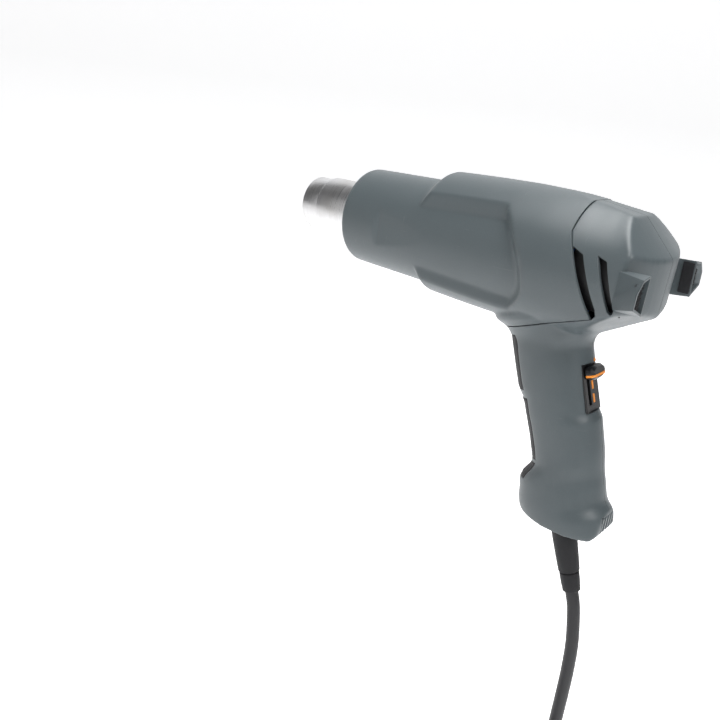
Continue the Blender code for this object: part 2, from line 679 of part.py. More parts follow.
def make_fan_and_motor():
    hub = [(FAN_X, SHAFT_RADIUS + GAP), (FAN_X, 0.0070), (FAN_X + 0.003, 0.0085), (FAN_X + FAN_WIDTH, 0.0085),
           (FAN_X + FAN_WIDTH, SHAFT_RADIUS + GAP)]
    wheel = turned("fan_wheel", hub, BLACK, 20)
    for k in range(FAN_BLADES):
        rings = []
        for radius, pitch in ((0.0070, 0.9), (0.0170, 0.7), (FAN_RADIUS, 0.5)):
            ring = []
            for along, thick in ((0.0010, -0.0006), (FAN_WIDTH - 0.0010, -0.0006), (FAN_WIDTH - 0.0010, 0.0006), (0.0010, 0.0006)):
                swing = (along - FAN_WIDTH / 2) * pitch + thick
                ring.append(Vector((FAN_X + along, swing, radius)))
            rings.append(ring)
        turn = Matrix.Rotation(2 * math.pi * k / FAN_BLADES, 4, "X")
        rings = [[turn @ point for point in ring] for ring in rings]
        join(wheel, loft("blade", rings, BLACK))
    carrier_end = MOTOR_START - 0.0006
    shroud = tube("fan_shroud", FAN_X - 0.0060, carrier_end, SHROUD_RADIUS, SHROUD_RADIUS - 0.0016, BLACK)
    for k in range(3):
        place = Matrix.Rotation(math.pi / 6 + 2 * math.pi * k / 3, 4, "X")
        join(shroud, box("spoke", (carrier_end - 0.0040, -0.0020, 0.0080),
                         (carrier_end - 0.0006, 0.0020, SHROUD_RADIUS - 0.0008), BLACK, place))
    join(shroud, tube("carrier_ring", carrier_end - 0.0044, carrier_end - 0.0003, 0.0110, 0.0045, BLACK, 20))
    motor = rod("motor_can", MOTOR_START, MOTOR_START + MOTOR_LENGTH, MOTOR_RADIUS, STEEL, 24)
    cut(motor, rod("motor_bore", MOTOR_START - 0.01, MOTOR_START + MOTOR_LENGTH + 0.01, SHAFT_RADIUS + GAP, STEEL, 12))
    rod("motor_shaft", FAN_X - 0.0020, MOTOR_START + MOTOR_LENGTH + 0.0030, SHAFT_RADIUS, STEEL, 12)
    board = box("circuit_board", (0.1880, -0.0130, 0.0215), (0.2130, 0.0130, 0.0231), BOARD)
    for y in (-0.0090, -0.0030, 0.0030, 0.0090):
        join(board, box("diode", (0.2030, y - 0.0013, 0.0229), (0.2090, y + 0.0013, 0.0256), BOARD))
    rod("capacitor", 0.1900, 0.2010, 0.0034, BLACK, 14, Matrix.Translation((0, 0, 0.0231 + 0.0034 + GAP)))


make_fan_and_motor()


# Scoop grilles and pads

def make_scoop_parts():
    back = LENGTH - GRILLE_DEPTH
    rings = [scoop_ring(x, scoop_corners(x), -SCOOP_RIM - 2 * GAP) for x in (back - GRILLE_THICK, back)]
    left = loft("intake_grille_left", rings, BLACK)
    mirrored(left, "intake_grille_right")
    top, low = SCOOP_FACE[0], SCOOP_FACE[-1]
    outline = ((top[0], top[1] - 0.0012), (low[0] - 0.0006, low[1] + 0.0016))
    rings = []
    for x in (0.2334, LENGTH - 0.0004):
        near = [Vector((x, -y + GAP, z)) for y, z in outline]
        far = [point + SIDE * (PAD_THICK - 0.0003) for point in reversed(near)]
        rings.append([near[0], far[1], far[0], near[1]])
    pad = loft("intake_pad_left", rings, RUBBER)
    mirrored(pad, "intake_pad_right")


make_scoop_parts()


# Soft grips

def make_grips():
    place = axes(on_handle(0, 0), DOWN, -FORWARD)
    for name, (low, high) in (("front_grip_upper", GRIP_UPPER), ("front_grip_lower", GRIP_LOWER), ("toe_pad", TOE_PAD)):
        wide = GRIP_HALF_WIDTH - GAP
        block = box(name, (low + GAP, -wide, -0.060), (high - GAP, wide, -0.008), RUBBER, place)
        cut(block, handle_solid("under", grow=-GRIP_DEPTH + GAP, flare=False))
        common(block, handle_solid("skin", flare=False))
        block.data.materials.clear()
        block.data.materials.append(RUBBER)
    foot = foot_block("foot_pad", FOOT_DEPTH - 2 * GAP, FOOT_RIB, GAP)
    for k in range(FOOT_RIBS):
        middle = (k - (FOOT_RIBS - 1) / 2) * FOOT_HALF_WIDTH * 1.5 / (FOOT_RIBS - 1)
        rib = foot_block("rib", FOOT_DEPTH - 3 * GAP, 0.0001, 2 * GAP)
        join(foot, common(rib, box("rib_width", (0, middle - FOOT_RIB, -BIG), (BIG * 2, middle + FOOT_RIB, 0))))


make_grips()


# Switch

def knob_rings(grow, low, high):
    """Rounded block of the knob, standing back from the plate; low and high are its reach in -t."""
    rings = []
    for reach, width, height in ((low, 0.90, 0.90), (low + 0.0012, 1.0, 1.0), (high - 0.0018, 0.97, 0.97), (high, 0.80, 0.66)):
        ring = []
        for k in range(20):
            angle = 2 * math.pi * k / 20
            c, n = math.cos(angle), math.sin(angle)
            y = (KNOB_HALF_WIDTH * width + grow) * math.copysign(abs(c) ** 0.75, c)
            s = KNOB_S + (KNOB_HALF_HEIGHT * height + grow) * math.copysign(abs(n) ** 0.75, n)
            ring.append(on_handle(s, -reach, y))
        rings.append(ring)
    return rings


def make_switch():
    place = axes(on_handle(0, 0), DOWN, -FORWARD)
    clear = 0.0002
    wide = SWITCH_HALF_WIDTH - clear
    front = -PLATE_T
    low, high = POCKET_S[0] + clear, POCKET_S[1] - clear
    plate = box("switch_plate", (low, -wide, front - PLATE_THICK), (high, wide, front), BLACK, place)
    slot_low, slot_high = KNOB_S - 0.0030, KNOB_S + STROKE + 0.0030
    half = STEM_WIDTH / 2 + GAP
    cut(plate, box("slot", (slot_low, STEM_Y - half, 0), (slot_high, STEM_Y + half, 0.04), BLACK, place))
    half_mark = 0.0024
    for stage in range(STAGES):
        middle = KNOB_S + STROKE * (stage + 1) / STAGES
        size = (middle - half_mark, MARK_Y - 0.0009), (middle + half_mark, MARK_Y + 0.0009)
        cut(plate, box("mark_seat", (size[0][0] - clear, size[0][1] - clear, front - 0.0008),
                       (size[1][0] + clear, size[1][1] + clear, 0.04), BLACK, place))
        box(f"stage_mark_{stage + 1}", (*size[0], front - 0.0005), (*size[1], front + 0.0001), ORANGE, place)
    start = front + GAP
    end = start + KNOB_RISE
    knob = loft("switch_knob", knob_rings(0.0, start, end), BLACK)
    stripe = loft("knob_stripe", knob_rings(0.00012, start, end + 0.0001), ORANGE)
    band = KNOB_S + 0.0009
    slab = ((band, -0.02, 0.0), (band + 0.0013, 0.02, 0.04))
    common(stripe, box("slab", *slab, ORANGE, place))
    cut(stripe, loft("stripe_floor", knob_rings(-0.0008, start - 0.002, end - 0.0008), ORANGE))
    groove = box("groove", (slab[0][0] - clear, -0.02, start + 0.0006), (slab[1][0] + clear, 0.02, 0.04), BLACK, place)
    cut(groove, loft("groove_floor", knob_rings(-0.0010, start - 0.002, end - 0.0010), BLACK))
    cut(stripe, box("stripe_below", (0, -0.02, 0.0), (0.2, 0.02, start + 0.0008), ORANGE, place))
    cut(knob, groove)
    stem = box("stem", (KNOB_S - 0.0024, STEM_Y - STEM_WIDTH / 2, front - PLATE_THICK - 0.0014),
               (KNOB_S + 0.0024, STEM_Y + STEM_WIDTH / 2, start + 0.0010), BLACK, place)
    join(knob, stem)
    body_top = front - PLATE_THICK - 0.0020
    body = box("switch_body", (low + 0.0010, -0.0078, 0.0000), (high - 0.0010, 0.0078, body_top), BLACK, place)
    for s in (low + 0.006, high - 0.006):
        join(body, box("terminal", (s - 0.0012, -0.0030, -0.0045), (s + 0.0012, 0.0030, 0.0010), BLACK, place))
    return knob, stripe


knob, stripe = make_switch()


# Leads, strain relief, cord and plug

def cable(name, points, radius, mat, spacing, sides=2):
    """A tube along a smooth curve through the route's own points."""
    route = [Vector(point) for point in points]
    ends = [route[0] * 2 - route[1], *route, route[-1] * 2 - route[-2]]
    dense = []
    for a, b, c, d in zip(ends, ends[1:], ends[2:], ends[3:]):
        for k in range(24):
            u = k / 24
            dense.append(0.5 * (2 * b + (c - a) * u + (2 * a - 5 * b + 4 * c - d) * u * u
                                + (3 * b - a - 3 * c + d) * u ** 3))
    dense.append(route[-1])
    reach = np.cumsum([0.0] + [(q - p).length for p, q in zip(dense, dense[1:])])
    count = max(2, int(round(reach[-1] / spacing)))
    at = np.linspace(0.0, reach[-1], count + 1)
    curve = bpy.data.curves.new(name, "CURVE")
    curve.dimensions = "3D"
    spline = curve.splines.new("POLY")
    spline.points.add(count)
    for k in range(count + 1):
        spline.points[k].co = (*(np.interp(at[k], reach, [p[i] for p in dense]) for i in range(3)), 1.0)
    curve.bevel_depth = radius
    curve.bevel_resolution = sides
    curve.use_fill_caps = True
    made = bpy.data.objects.new(name, curve)
    made.parent = gun
    bpy.context.scene.collection.objects.link(made)
    curve.materials.append(mat)
    return made


# The cord's route from inside the strain relief to the coil, and from the coil to the plug
CORD_RADIUS = CORD_DIAMETER / 2
DROP_X = 0.2350
LIE_Z = FLOOR_Z + CORD_RADIUS
COIL_OUTER = COIL_RADIUS + COIL_COLUMNS * CORD_RADIUS
COIL_CENTRE = Vector((DROP_X - COIL_RADIUS - CORD_RADIUS * (COIL_COLUMNS - 1), COIL_CENTRE_Y, FLOOR_Z))
CLEAR_RUN = math.sqrt((COIL_OUTER + CORD_RADIUS + 2 * GAP) ** 2 - (COIL_OUTER - CORD_RADIUS) ** 2)
CORD_ROUTE = (
    on_handle(CORD_START_S, RELIEF_T),
    on_handle(0.1960, RELIEF_T),
    on_handle(0.2050, RELIEF_T),
    (0.2312, 0.0, -0.2080),
    (0.2336, 0.0, -0.2220),
    (0.2347, 0.0, -0.2380),
    (DROP_X, 0.0, -0.2540),
    (DROP_X, 0.0, FLOOR_Z + 0.0600),
    (DROP_X, -0.0010, FLOOR_Z + 0.0430),
    (DROP_X, -0.0048, FLOOR_Z + 0.0270),
    (DROP_X, -0.0125, FLOOR_Z + 0.0135),
    (DROP_X, -0.0240, LIE_Z + 0.0022),
    (DROP_X, -0.0350, LIE_Z),
    (DROP_X, COIL_CENTRE_Y + CLEAR_RUN, LIE_Z),
)
PLUG_Y = COIL_CENTRE.y - COIL_OUTER + CORD_RADIUS
PLUG_X = COIL_CENTRE.x - CLEAR_RUN - 0.0400
PLUG_Z = FLOOR_Z + PLUG_HALF_HEIGHT
TAIL_ROUTE = (
    (COIL_CENTRE.x - CLEAR_RUN, PLUG_Y, LIE_Z),
    (COIL_CENTRE.x - CLEAR_RUN - 0.0100, PLUG_Y, LIE_Z + 0.0006),
    (COIL_CENTRE.x - CLEAR_RUN - 0.0200, PLUG_Y, (LIE_Z + PLUG_Z) / 2),
    (PLUG_X + 0.0080, PLUG_Y, PLUG_Z),
    (PLUG_X + GAP, PLUG_Y, PLUG_Z),
)


def make_lead():
    place = axes(on_handle(0, RELIEF_T), DOWN, FORWARD)
    top, end = RELIEF_S
    wide, slim = RELIEF_RADIUS
    bore = CORD_RADIUS + GAP
    profile = [(top, bore), (top, 0.0092), (top + 0.0026, 0.0092), (top + 0.0026, wide), (0.1640, wide - 0.0002)]
    profile += [(0.1835, wide - 0.0012), (0.1842, slim + 0.0002), (end, slim - 0.0006), (end, bore)]
    turned("strain_relief", profile, RUBBER, 24, place)
    cable("cord", CORD_ROUTE, CORD_RADIUS, RUBBER, 0.0090, 3)
    inner_top = on_handle(CLAMP_S - 0.0070, RELIEF_T)
    inner = (inner_top, on_handle(0.150, RELIEF_T), on_handle(CORD_START_S - GAP, RELIEF_T))
    cable("cord_inner_end", inner, CORD_RADIUS, RUBBER, 0.0300, 2)
    upright = axes(COIL_CENTRE, Vector((0, 0, 1)), Vector((1, 0, 0)))
    inside = COIL_RADIUS - COIL_COLUMNS * CORD_RADIUS
    height = COIL_LAYERS * CORD_DIAMETER
    soft = 0.0030
    ring = [(0.0, inside + soft), (soft, inside), (height - soft, inside), (height, inside + soft), (height, COIL_OUTER - soft)]
    ring += [(height - soft, COIL_OUTER), (soft, COIL_OUTER), (0.0, COIL_OUTER - soft)]
    turned("cord_coil", ring, RUBBER, 32, upright)
    tie_place = Matrix.Translation(COIL_CENTRE) @ Matrix.Rotation(math.radians(200), 4, "Z")
    tie = box("cord_tie", (inside - 0.0020, -0.0040, -0.0012), (COIL_OUTER + 0.0015, 0.0040, height + 0.0015), BLACK, tie_place)
    cut(tie, box("tie_room", (inside - 0.0008, -0.02, -GAP), (COIL_OUTER + GAP, 0.02, height + GAP), BLACK, tie_place))
    cable("cord_tail", TAIL_ROUTE, CORD_RADIUS, RUBBER, 0.0090, 3)
    rings = []
    for back, share in ((0.0, 0.36), (0.010, 0.55), (0.018, 0.92), (0.022, 1.0), (PLUG_LENGTH - 0.001, 1.0), (PLUG_LENGTH, 0.93)):
        ring = []
        for k in range(24):
            angle = 2 * math.pi * k / 24
            c, n = math.cos(angle), math.sin(angle)
            y = PLUG_HALF_WIDTH * share * math.copysign(abs(c) ** 0.8, c)
            z = PLUG_HALF_HEIGHT * min(1.0, share + 0.1) * math.copysign(abs(n) ** 0.8, n)
            ring.append(Vector((PLUG_X - back, PLUG_Y + y, PLUG_Z + z)))
        rings.append(ring)
    plug = loft("plug_body", rings, RUBBER)
    for k, side in enumerate((-1, 1)):
        face = PLUG_X - PLUG_LENGTH
        place = axes(Vector((face, PLUG_Y + side * PIN_SPACING / 2, PLUG_Z)), Vector((-1, 0, 0)), Vector((0, 0, 1)))
        cut(plug, rod("pin_seat", -0.0060, 0.010, PIN_RADIUS + GAP, RUBBER, 14, place))
        profile = [(-0.0057, 0.0), (-0.0057, PIN_RADIUS), (PIN_LENGTH - 0.0010, PIN_RADIUS), (PIN_LENGTH, PIN_RADIUS * 0.6)]
        profile.append((PIN_LENGTH, 0.0))
        turned(f"plug_pin_{k + 1}", profile, STEEL, 14, place)
    switch_top = on_handle(POCKET_S[0] + 0.0009, -0.0070)
    for k, side in enumerate((-1, 1)):
        route = (
            switch_top + SIDE * side * 0.004,
            (0.1930, side * 0.0065, -0.0420),
            (0.1945, side * 0.0080, -0.0320),
            (0.1955, side * 0.0135, -0.0180),
            (0.1935, side * 0.0185, -0.0020),
            (0.1935, side * 0.0175, 0.0120),
            (0.1950, side * 0.0110, 0.0200),
        )
        cable(f"lead_wire_{k + 1}", route, 0.0010, INSULATION, 0.0060, 1)


make_lead()
knob_axis = on_handle(KNOB_S, PLATE_T)
pivot(knob, knob_axis)
pivot(stripe, knob_axis)
for spinning in ("fan_wheel", "motor_shaft"):
    pivot(bpy.data.objects[spinning], Vector((FAN_X, 0.0, 0.0)))
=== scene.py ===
# %% [markdown]
# # A workshop hot-air gun
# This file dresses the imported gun: it gives every part its finish, and it remodels the parts that show. The
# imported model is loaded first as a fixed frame, and every new piece then rides on one of its bodies. The
# gun is held by its grip and its cord hangs down to a coil, so nothing here stands on the floor but the
# coil.

# %% Load the frame
import math

import bmesh
import bpy
from mathutils import Matrix, Vector


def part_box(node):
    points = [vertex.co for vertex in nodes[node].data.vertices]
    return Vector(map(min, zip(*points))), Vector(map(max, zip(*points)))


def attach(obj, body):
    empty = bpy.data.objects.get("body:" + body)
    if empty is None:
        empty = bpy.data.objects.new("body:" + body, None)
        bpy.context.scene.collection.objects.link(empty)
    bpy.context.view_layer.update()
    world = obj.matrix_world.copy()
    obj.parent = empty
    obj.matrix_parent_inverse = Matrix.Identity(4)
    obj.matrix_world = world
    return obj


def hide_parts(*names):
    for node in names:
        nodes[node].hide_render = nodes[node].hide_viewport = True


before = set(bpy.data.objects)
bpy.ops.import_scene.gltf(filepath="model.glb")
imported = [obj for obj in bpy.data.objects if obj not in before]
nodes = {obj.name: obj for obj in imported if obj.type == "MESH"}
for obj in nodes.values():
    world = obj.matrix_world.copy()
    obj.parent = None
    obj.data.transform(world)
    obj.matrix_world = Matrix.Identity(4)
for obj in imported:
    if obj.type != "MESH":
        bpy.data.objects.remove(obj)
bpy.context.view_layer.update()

# %% [markdown]
# ## The gun's own measure
# The frame's zero is in the grip, but a hot-air gun is easier to describe from the tip of its nozzle. So
# each shape below is made with X back from the tip and Z up from the barrel's axis, and is moved at its
# end. The handle has its own pair of lines too: s runs down it and t runs forward, both from the barrel's
# axis.

# %% Where the barrel's axis lies
tube_low, tube_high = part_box("nozzle_tube")
TIP = Vector((tube_low.x, 0.0, (tube_low.z + tube_high.z) / 2))
RAKE = math.radians(19.5)
HANDLE_START_X = 0.1682
DOWN = Vector((math.sin(RAKE), 0.0, -math.cos(RAKE)))
FORWARD = Vector((-math.cos(RAKE), 0.0, -math.sin(RAKE)))
SIDE = Vector((0.0, 1.0, 0.0))


def on_handle(s, t, y=0.0):
    return Vector((HANDLE_START_X, y, 0.0)) + DOWN * s + FORWARD * t


print("tip of the nozzle in the frame:", tuple(round(c, 4) for c in TIP))

# %% [markdown]
# ## The camera
# It stands to the left of the gun and a little above and behind the middle, so the tail shows more than the
# mouth. The gun fills the width, and the cord leaves through the lower edge on its way to the coil.

# %% The camera
camera = bpy.data.objects.new("camera", bpy.data.cameras.new("camera"))
bpy.context.scene.collection.objects.link(camera)
camera.data.lens = 39.75
camera.data.sensor_width = 36.0
camera.data.clip_start = 0.01
turn = Matrix(((0.76197, 0.63863, 0.10751), (-0.29685, 0.19687, 0.93441),
               (0.57558, -0.74390, 0.33959))).transposed()
camera.matrix_world = Matrix.Translation(Vector((0.3609, -0.4025, 0.0856)) + TIP) @ turn.to_4x4()
bpy.context.scene.camera = camera
print("camera height over the axis: 86 mm, lens", camera.data.lens)

# %% [markdown]
# ## The cord
# A mains cord is one fixed length of round rubber cable. It drops out of its relief, bends towards the coil
# just over the floor, winds round five and a quarter times in two columns and three layers, and leaves
# level for the plug. A curve with a round bevel is the plain way to make it, because the curve is then its
# centreline. Where a turn changes its place in the coil it moves in its own stretch of the turn, so no turn
# touches the next.

# %% The cord's route
CORD = 0.0078
FLOOR_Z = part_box("cord_coil")[0].z - TIP.z
DROP_X = 0.2350
COIL_MIDDLE = Vector((DROP_X - 0.0430 - CORD / 2, -0.0950, FLOOR_Z))
WIDE, NARROW = 0.0430 + CORD / 2, 0.0430 - CORD / 2
TURNS = 5.25
STEP_DEGREES = 5
STEPS_A_TURN = 360 // STEP_DEGREES
SWAPS = (
    ((WIDE, 0), (NARROW, 0), 66, 24),
    ((NARROW, 0), (NARROW, 1), 101, 49),
    ((NARROW, 1), (NARROW, 2), 102, 54),
    ((NARROW, 2), (WIDE, 2), 121, 65),
    ((WIDE, 2), (WIDE, 1), 266, 208),
)


def smooth_step(value, low, high):
    part = min(max((value - low) / (high - low), 0.0), 1.0)
    return part * part * part * (part * (6 * part - 15) + 10)


def smooth_route(points, per_span=10):
    """The points of a soft curve through the given ones."""
    points = [Vector(point) for point in points]
    ends = [points[0] * 2 - points[1], *points, points[-1] * 2 - points[-2]]
    made = []
    for a, b, c, d in zip(ends, ends[1:], ends[2:], ends[3:]):
        for k in range(per_span):
            u = k / per_span
            made.append(0.5 * (2 * b + (c - a) * u + (2 * a - 5 * b + 4 * c - d) * u * u
                               + (3 * b - a - 3 * c + d) * u ** 3))
    return made + [points[-1]]


LIE_Z = FLOOR_Z + CORD / 2
hang = smooth_route((
    on_handle(0.1860, 0.0080), on_handle(0.1960, 0.0080), on_handle(0.2050, 0.0080),
    (0.2316, 0, -0.2080), (0.2337, 0, -0.2220), (0.2347, 0, -0.2380),
    (DROP_X, 0, -0.2540), (DROP_X, 0, -0.2770), (DROP_X, 0, FLOOR_Z + 0.0600),
    (DROP_X, -0.0010, FLOOR_Z + 0.0430), (DROP_X, -0.0048, FLOOR_Z + 0.0270),
    (DROP_X, -0.0125, FLOOR_Z + 0.0135), (DROP_X, -0.0240, LIE_Z + 0.0022),
    (DROP_X, -0.0350, LIE_Z), (DROP_X, -0.0560, LIE_Z), (DROP_X, -0.0780, LIE_Z),
), 4)
turns = []
for step in range(int(TURNS * STEPS_A_TURN) + 1):
    lap, left = step // STEPS_A_TURN, 360 - STEP_DEGREES * (step % STEPS_A_TURN)
    if lap < len(SWAPS):
        (start_radius, start_layer), (end_radius, end_layer), first, last = SWAPS[lap]
        part = smooth_step(-left, -first, -last)
        radius = start_radius + (end_radius - start_radius) * part
        layer = start_layer + (end_layer - start_layer) * part
    else:
        radius, layer = WIDE, 1
    angle = -math.radians(step * STEP_DEGREES)
    turns.append(COIL_MIDDLE + Vector((radius * math.cos(angle), radius * math.sin(angle),
                                       CORD / 2 + layer * CORD)))
plug_low, plug_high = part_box("plug_body")
plug_back = Vector((plug_high.x, (plug_low.y + plug_high.y) / 2, (plug_low.z + plug_high.z) / 2)) - TIP
last = turns[-1]
tail = smooth_route((
    last + Vector((-0.014, 0, 0)), last + Vector((-0.028, 0, -0.0006)), last + Vector((-0.044, 0, -0.0008)),
    plug_back + Vector((0.006, 0, 0)), plug_back + Vector((-0.006, 0, 0)),
), 4)
route = hang[:-1] + turns + tail

# %% The cord itself
curve = bpy.data.curves.new("mains_cord", "CURVE")
curve.dimensions = "3D"
spline = curve.splines.new("POLY")
spline.points.add(len(route) - 1)
for point, place in zip(spline.points, route):
    point.co = (*(place + TIP), 1.0)
    point.radius = CORD / 2
curve.bevel_depth = 1.0
curve.bevel_resolution = 5
curve.use_fill_caps = True
mains_cord = bpy.data.objects.new("mains_cord", curve)
bpy.context.scene.collection.objects.link(mains_cord)
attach(mains_cord, "housing")
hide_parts("cord", "cord_coil", "cord_tail")

# %% [markdown]
# ## Effects that several finishes share
# Moulded plastic, rubber and cable sheath all show the same three things at different sizes: a fine grain
# from the mould, a slow cloudiness of tone, and small scuffs from handling. They are built once as node
# groups with their own inputs, and each material places them with its own values. They read Object
# coordinates, which are in metres here.

# %% A helper for node trees
def add(tree, kind, values=(), **settings):
    """A node with its settings and with its inputs set or linked."""
    made = tree.nodes.new(kind)
    for name, value in settings.items():
        setattr(made, name, value)
    for key, value in dict(values).items():
        if isinstance(value, bpy.types.NodeSocket):
            tree.links.new(value, made.inputs[key])
        else:
            made.inputs[key].default_value = value
    return made


def new_group(name, inputs, outputs):
    """A shader node group with float inputs and outputs."""
    tree = bpy.data.node_groups.new(name, "ShaderNodeTree")
    for label, value in inputs:
        tree.interface.new_socket(label, in_out="INPUT", socket_type="NodeSocketFloat").default_value = value
    for label in outputs:
        tree.interface.new_socket(label, in_out="OUTPUT", socket_type="NodeSocketFloat")
    return tree, tree.nodes.new("NodeGroupInput"), tree.nodes.new("NodeGroupOutput")


# %% Mould grain: height, tone and gloss
grain, given, result = new_group(
    "mould_grain", (("Grains per metre", 2200.0), ("Cloud", 0.10), ("Gloss spread", 0.12)),
    ("Height", "Tone", "Gloss"))
where = add(grain, "ShaderNodeTexCoord").outputs["Object"]
pits = add(grain, "ShaderNodeTexVoronoi", {"Vector": where, "Scale": given.outputs["Grains per metre"]},
           feature="SMOOTH_F1")
fine = add(grain, "ShaderNodeTexNoise", {"Vector": where, "Scale": 3600.0, "Detail": 2.0})
height = add(grain, "ShaderNodeMath", {0: pits.outputs["Distance"], 1: fine.outputs["Fac"]}, operation="ADD")
grain.links.new(height.outputs[0], result.inputs["Height"])
cloud = add(grain, "ShaderNodeTexNoise", {"Vector": where, "Scale": 38.0, "Detail": 4.0, "Roughness": 0.6})
off = add(grain, "ShaderNodeMath", {0: cloud.outputs["Fac"], 1: 0.5}, operation="SUBTRACT")
tone = add(grain, "ShaderNodeMath", {0: off.outputs[0], 1: given.outputs["Cloud"], 2: 1.0},
           operation="MULTIPLY_ADD")
speck = add(grain, "ShaderNodeTexNoise", {"Vector": where, "Scale": 1500.0, "Detail": 1.0})
speck_off = add(grain, "ShaderNodeMath", {0: speck.outputs["Fac"], 1: 0.5}, operation="SUBTRACT")
both = add(grain, "ShaderNodeMath", {0: speck_off.outputs[0], 1: given.outputs["Cloud"], 2: tone.outputs[0]},
           operation="MULTIPLY_ADD")
grain.links.new(both.outputs[0], result.inputs["Tone"])
gloss = add(grain, "ShaderNodeTexNoise", {"Vector": where, "Scale": 120.0, "Detail": 3.0})
gloss_off = add(grain, "ShaderNodeMath", {0: gloss.outputs["Fac"], 1: 0.5}, operation="SUBTRACT")
spread = add(grain, "ShaderNodeMath", {0: gloss_off.outputs[0], 1: given.outputs["Gloss spread"], 2: 0.0},
             operation="MULTIPLY_ADD")
grain.links.new(spread.outputs[0], result.inputs["Gloss"])

# %% Handling scuffs: a mask of faint short marks
scuffs, given, result = new_group("handling_scuffs", (("Amount", 0.5),), ("Mask",))
where = add(scuffs, "ShaderNodeTexCoord").outputs["Object"]
masks = []
for angle, stretch in ((0.5, (60.0, 60.0, 900.0)), (1.7, (700.0, 80.0, 70.0))):
    turned_to = add(scuffs, "ShaderNodeMapping", {"Vector": where, "Rotation": (0.3, angle, angle),
                                                  "Scale": stretch})
    lines = add(scuffs, "ShaderNodeTexNoise", {"Vector": turned_to.outputs[0], "Scale": 1.0, "Detail": 2.0})
    thin = add(scuffs, "ShaderNodeMapRange", {"Value": lines.outputs["Fac"], "From Min": 0.69,
                                              "From Max": 0.76})
    masks.append(thin.outputs[0])
patches = add(scuffs, "ShaderNodeTexNoise", {"Vector": where, "Scale": 45.0, "Detail": 2.0})
patch = add(scuffs, "ShaderNodeMapRange", {"Value": patches.outputs["Fac"], "From Min": 0.52,
                                           "From Max": 0.66})
most = add(scuffs, "ShaderNodeMath", {0: masks[0], 1: masks[1]}, operation="MAXIMUM")
there = add(scuffs, "ShaderNodeMath", {0: most.outputs[0], 1: patch.outputs[0]}, operation="MULTIPLY")
scaled = add(scuffs, "ShaderNodeMath", {0: there.outputs[0], 1: given.outputs["Amount"]},
             operation="MULTIPLY")
scuffs.links.new(scaled.outputs[0], result.inputs["Mask"])

# %% [markdown]
# ## The finishes
# Each material has its own Principled shader. A number that is the same all over sits on the shader's own
# socket, and only what changes over the surface is linked: colour, roughness and the bump from the grain.

# %% Plastic, rubber and the like
def moulded(name, colour, scuffed, rough, grains, cloud, bump, amount, specular=0.5, soft_edges=0.0):
    """A moulded finish: its colour, its colour where scuffed, and the size and strength of its grain."""
    made = bpy.data.materials.new(name)
    made.use_nodes = True
    made.diffuse_color = (*colour, 1.0)
    tree = made.node_tree
    shader = tree.nodes["Principled BSDF"]
    texture = add(tree, "ShaderNodeGroup", node_tree=grain)
    texture.inputs["Grains per metre"].default_value = grains
    texture.inputs["Cloud"].default_value = cloud
    marks = add(tree, "ShaderNodeGroup", node_tree=scuffs)
    marks.inputs["Amount"].default_value = amount
    toned = add(tree, "ShaderNodeVectorMath", {0: colour, "Scale": texture.outputs["Tone"]},
                operation="SCALE")
    mixed = add(tree, "ShaderNodeMix",
                {"Factor": marks.outputs["Mask"], "A": toned.outputs[0], "B": (*scuffed, 1.0)},
                data_type="RGBA")
    tree.links.new(mixed.outputs["Result"], shader.inputs["Base Color"])
    worn = add(tree, "ShaderNodeMath", {0: texture.outputs["Gloss"], 1: rough}, operation="ADD")
    tree.links.new(worn.outputs[0], shader.inputs["Roughness"])
    shader.inputs["Specular IOR Level"].default_value = specular
    relief = add(tree, "ShaderNodeBump", {"Height": texture.outputs["Height"], "Strength": bump,
                                          "Distance": 0.00012})
    if soft_edges:
        rounded = add(tree, "ShaderNodeBevel", {"Radius": soft_edges}, samples=4)
        tree.links.new(rounded.outputs[0], relief.inputs["Normal"])
    tree.links.new(relief.outputs[0], shader.inputs["Normal"])
    return made


housing_grey = moulded("housing_grey", (0.080, 0.098, 0.105), (0.19, 0.21, 0.22), 0.40,
                       2300, 0.12, 0.22, 0.30, 0.5, 0.0007)
soft_black = moulded("soft_black", (0.013, 0.013, 0.015), (0.045, 0.045, 0.047), 0.62,
                     1500, 0.30, 0.55, 0.5, 0.35)
hard_black = moulded("hard_black", (0.010, 0.010, 0.011), (0.05, 0.05, 0.052), 0.36, 3000, 0.18, 0.12, 0.35)
sheath_black = moulded("sheath_black", (0.016, 0.016, 0.018), (0.05, 0.05, 0.05), 0.50,
                       1100, 0.25, 0.30, 0.4, 0.45)
signal_orange = moulded("signal_orange", (0.86, 0.27, 0.012), (0.92, 0.45, 0.10), 0.36,
                        2600, 0.10, 0.12, 0.25)
wire_blue = moulded("wire_blue", (0.040, 0.120, 0.420), (0.10, 0.20, 0.50), 0.40, 2600, 0.12, 0.15, 0.2)
board_green = moulded("board_green", (0.030, 0.130, 0.050), (0.30, 0.24, 0.10), 0.34, 900, 0.35, 0.20, 0.9)
white_ceramic = moulded("white_ceramic", (0.74, 0.71, 0.64), (0.50, 0.44, 0.36), 0.74, 1400, 0.16, 0.45, 0.6)
mica_brown = moulded("mica_brown", (0.50, 0.40, 0.24), (0.62, 0.53, 0.36), 0.42, 700, 0.45, 0.35, 0.7)


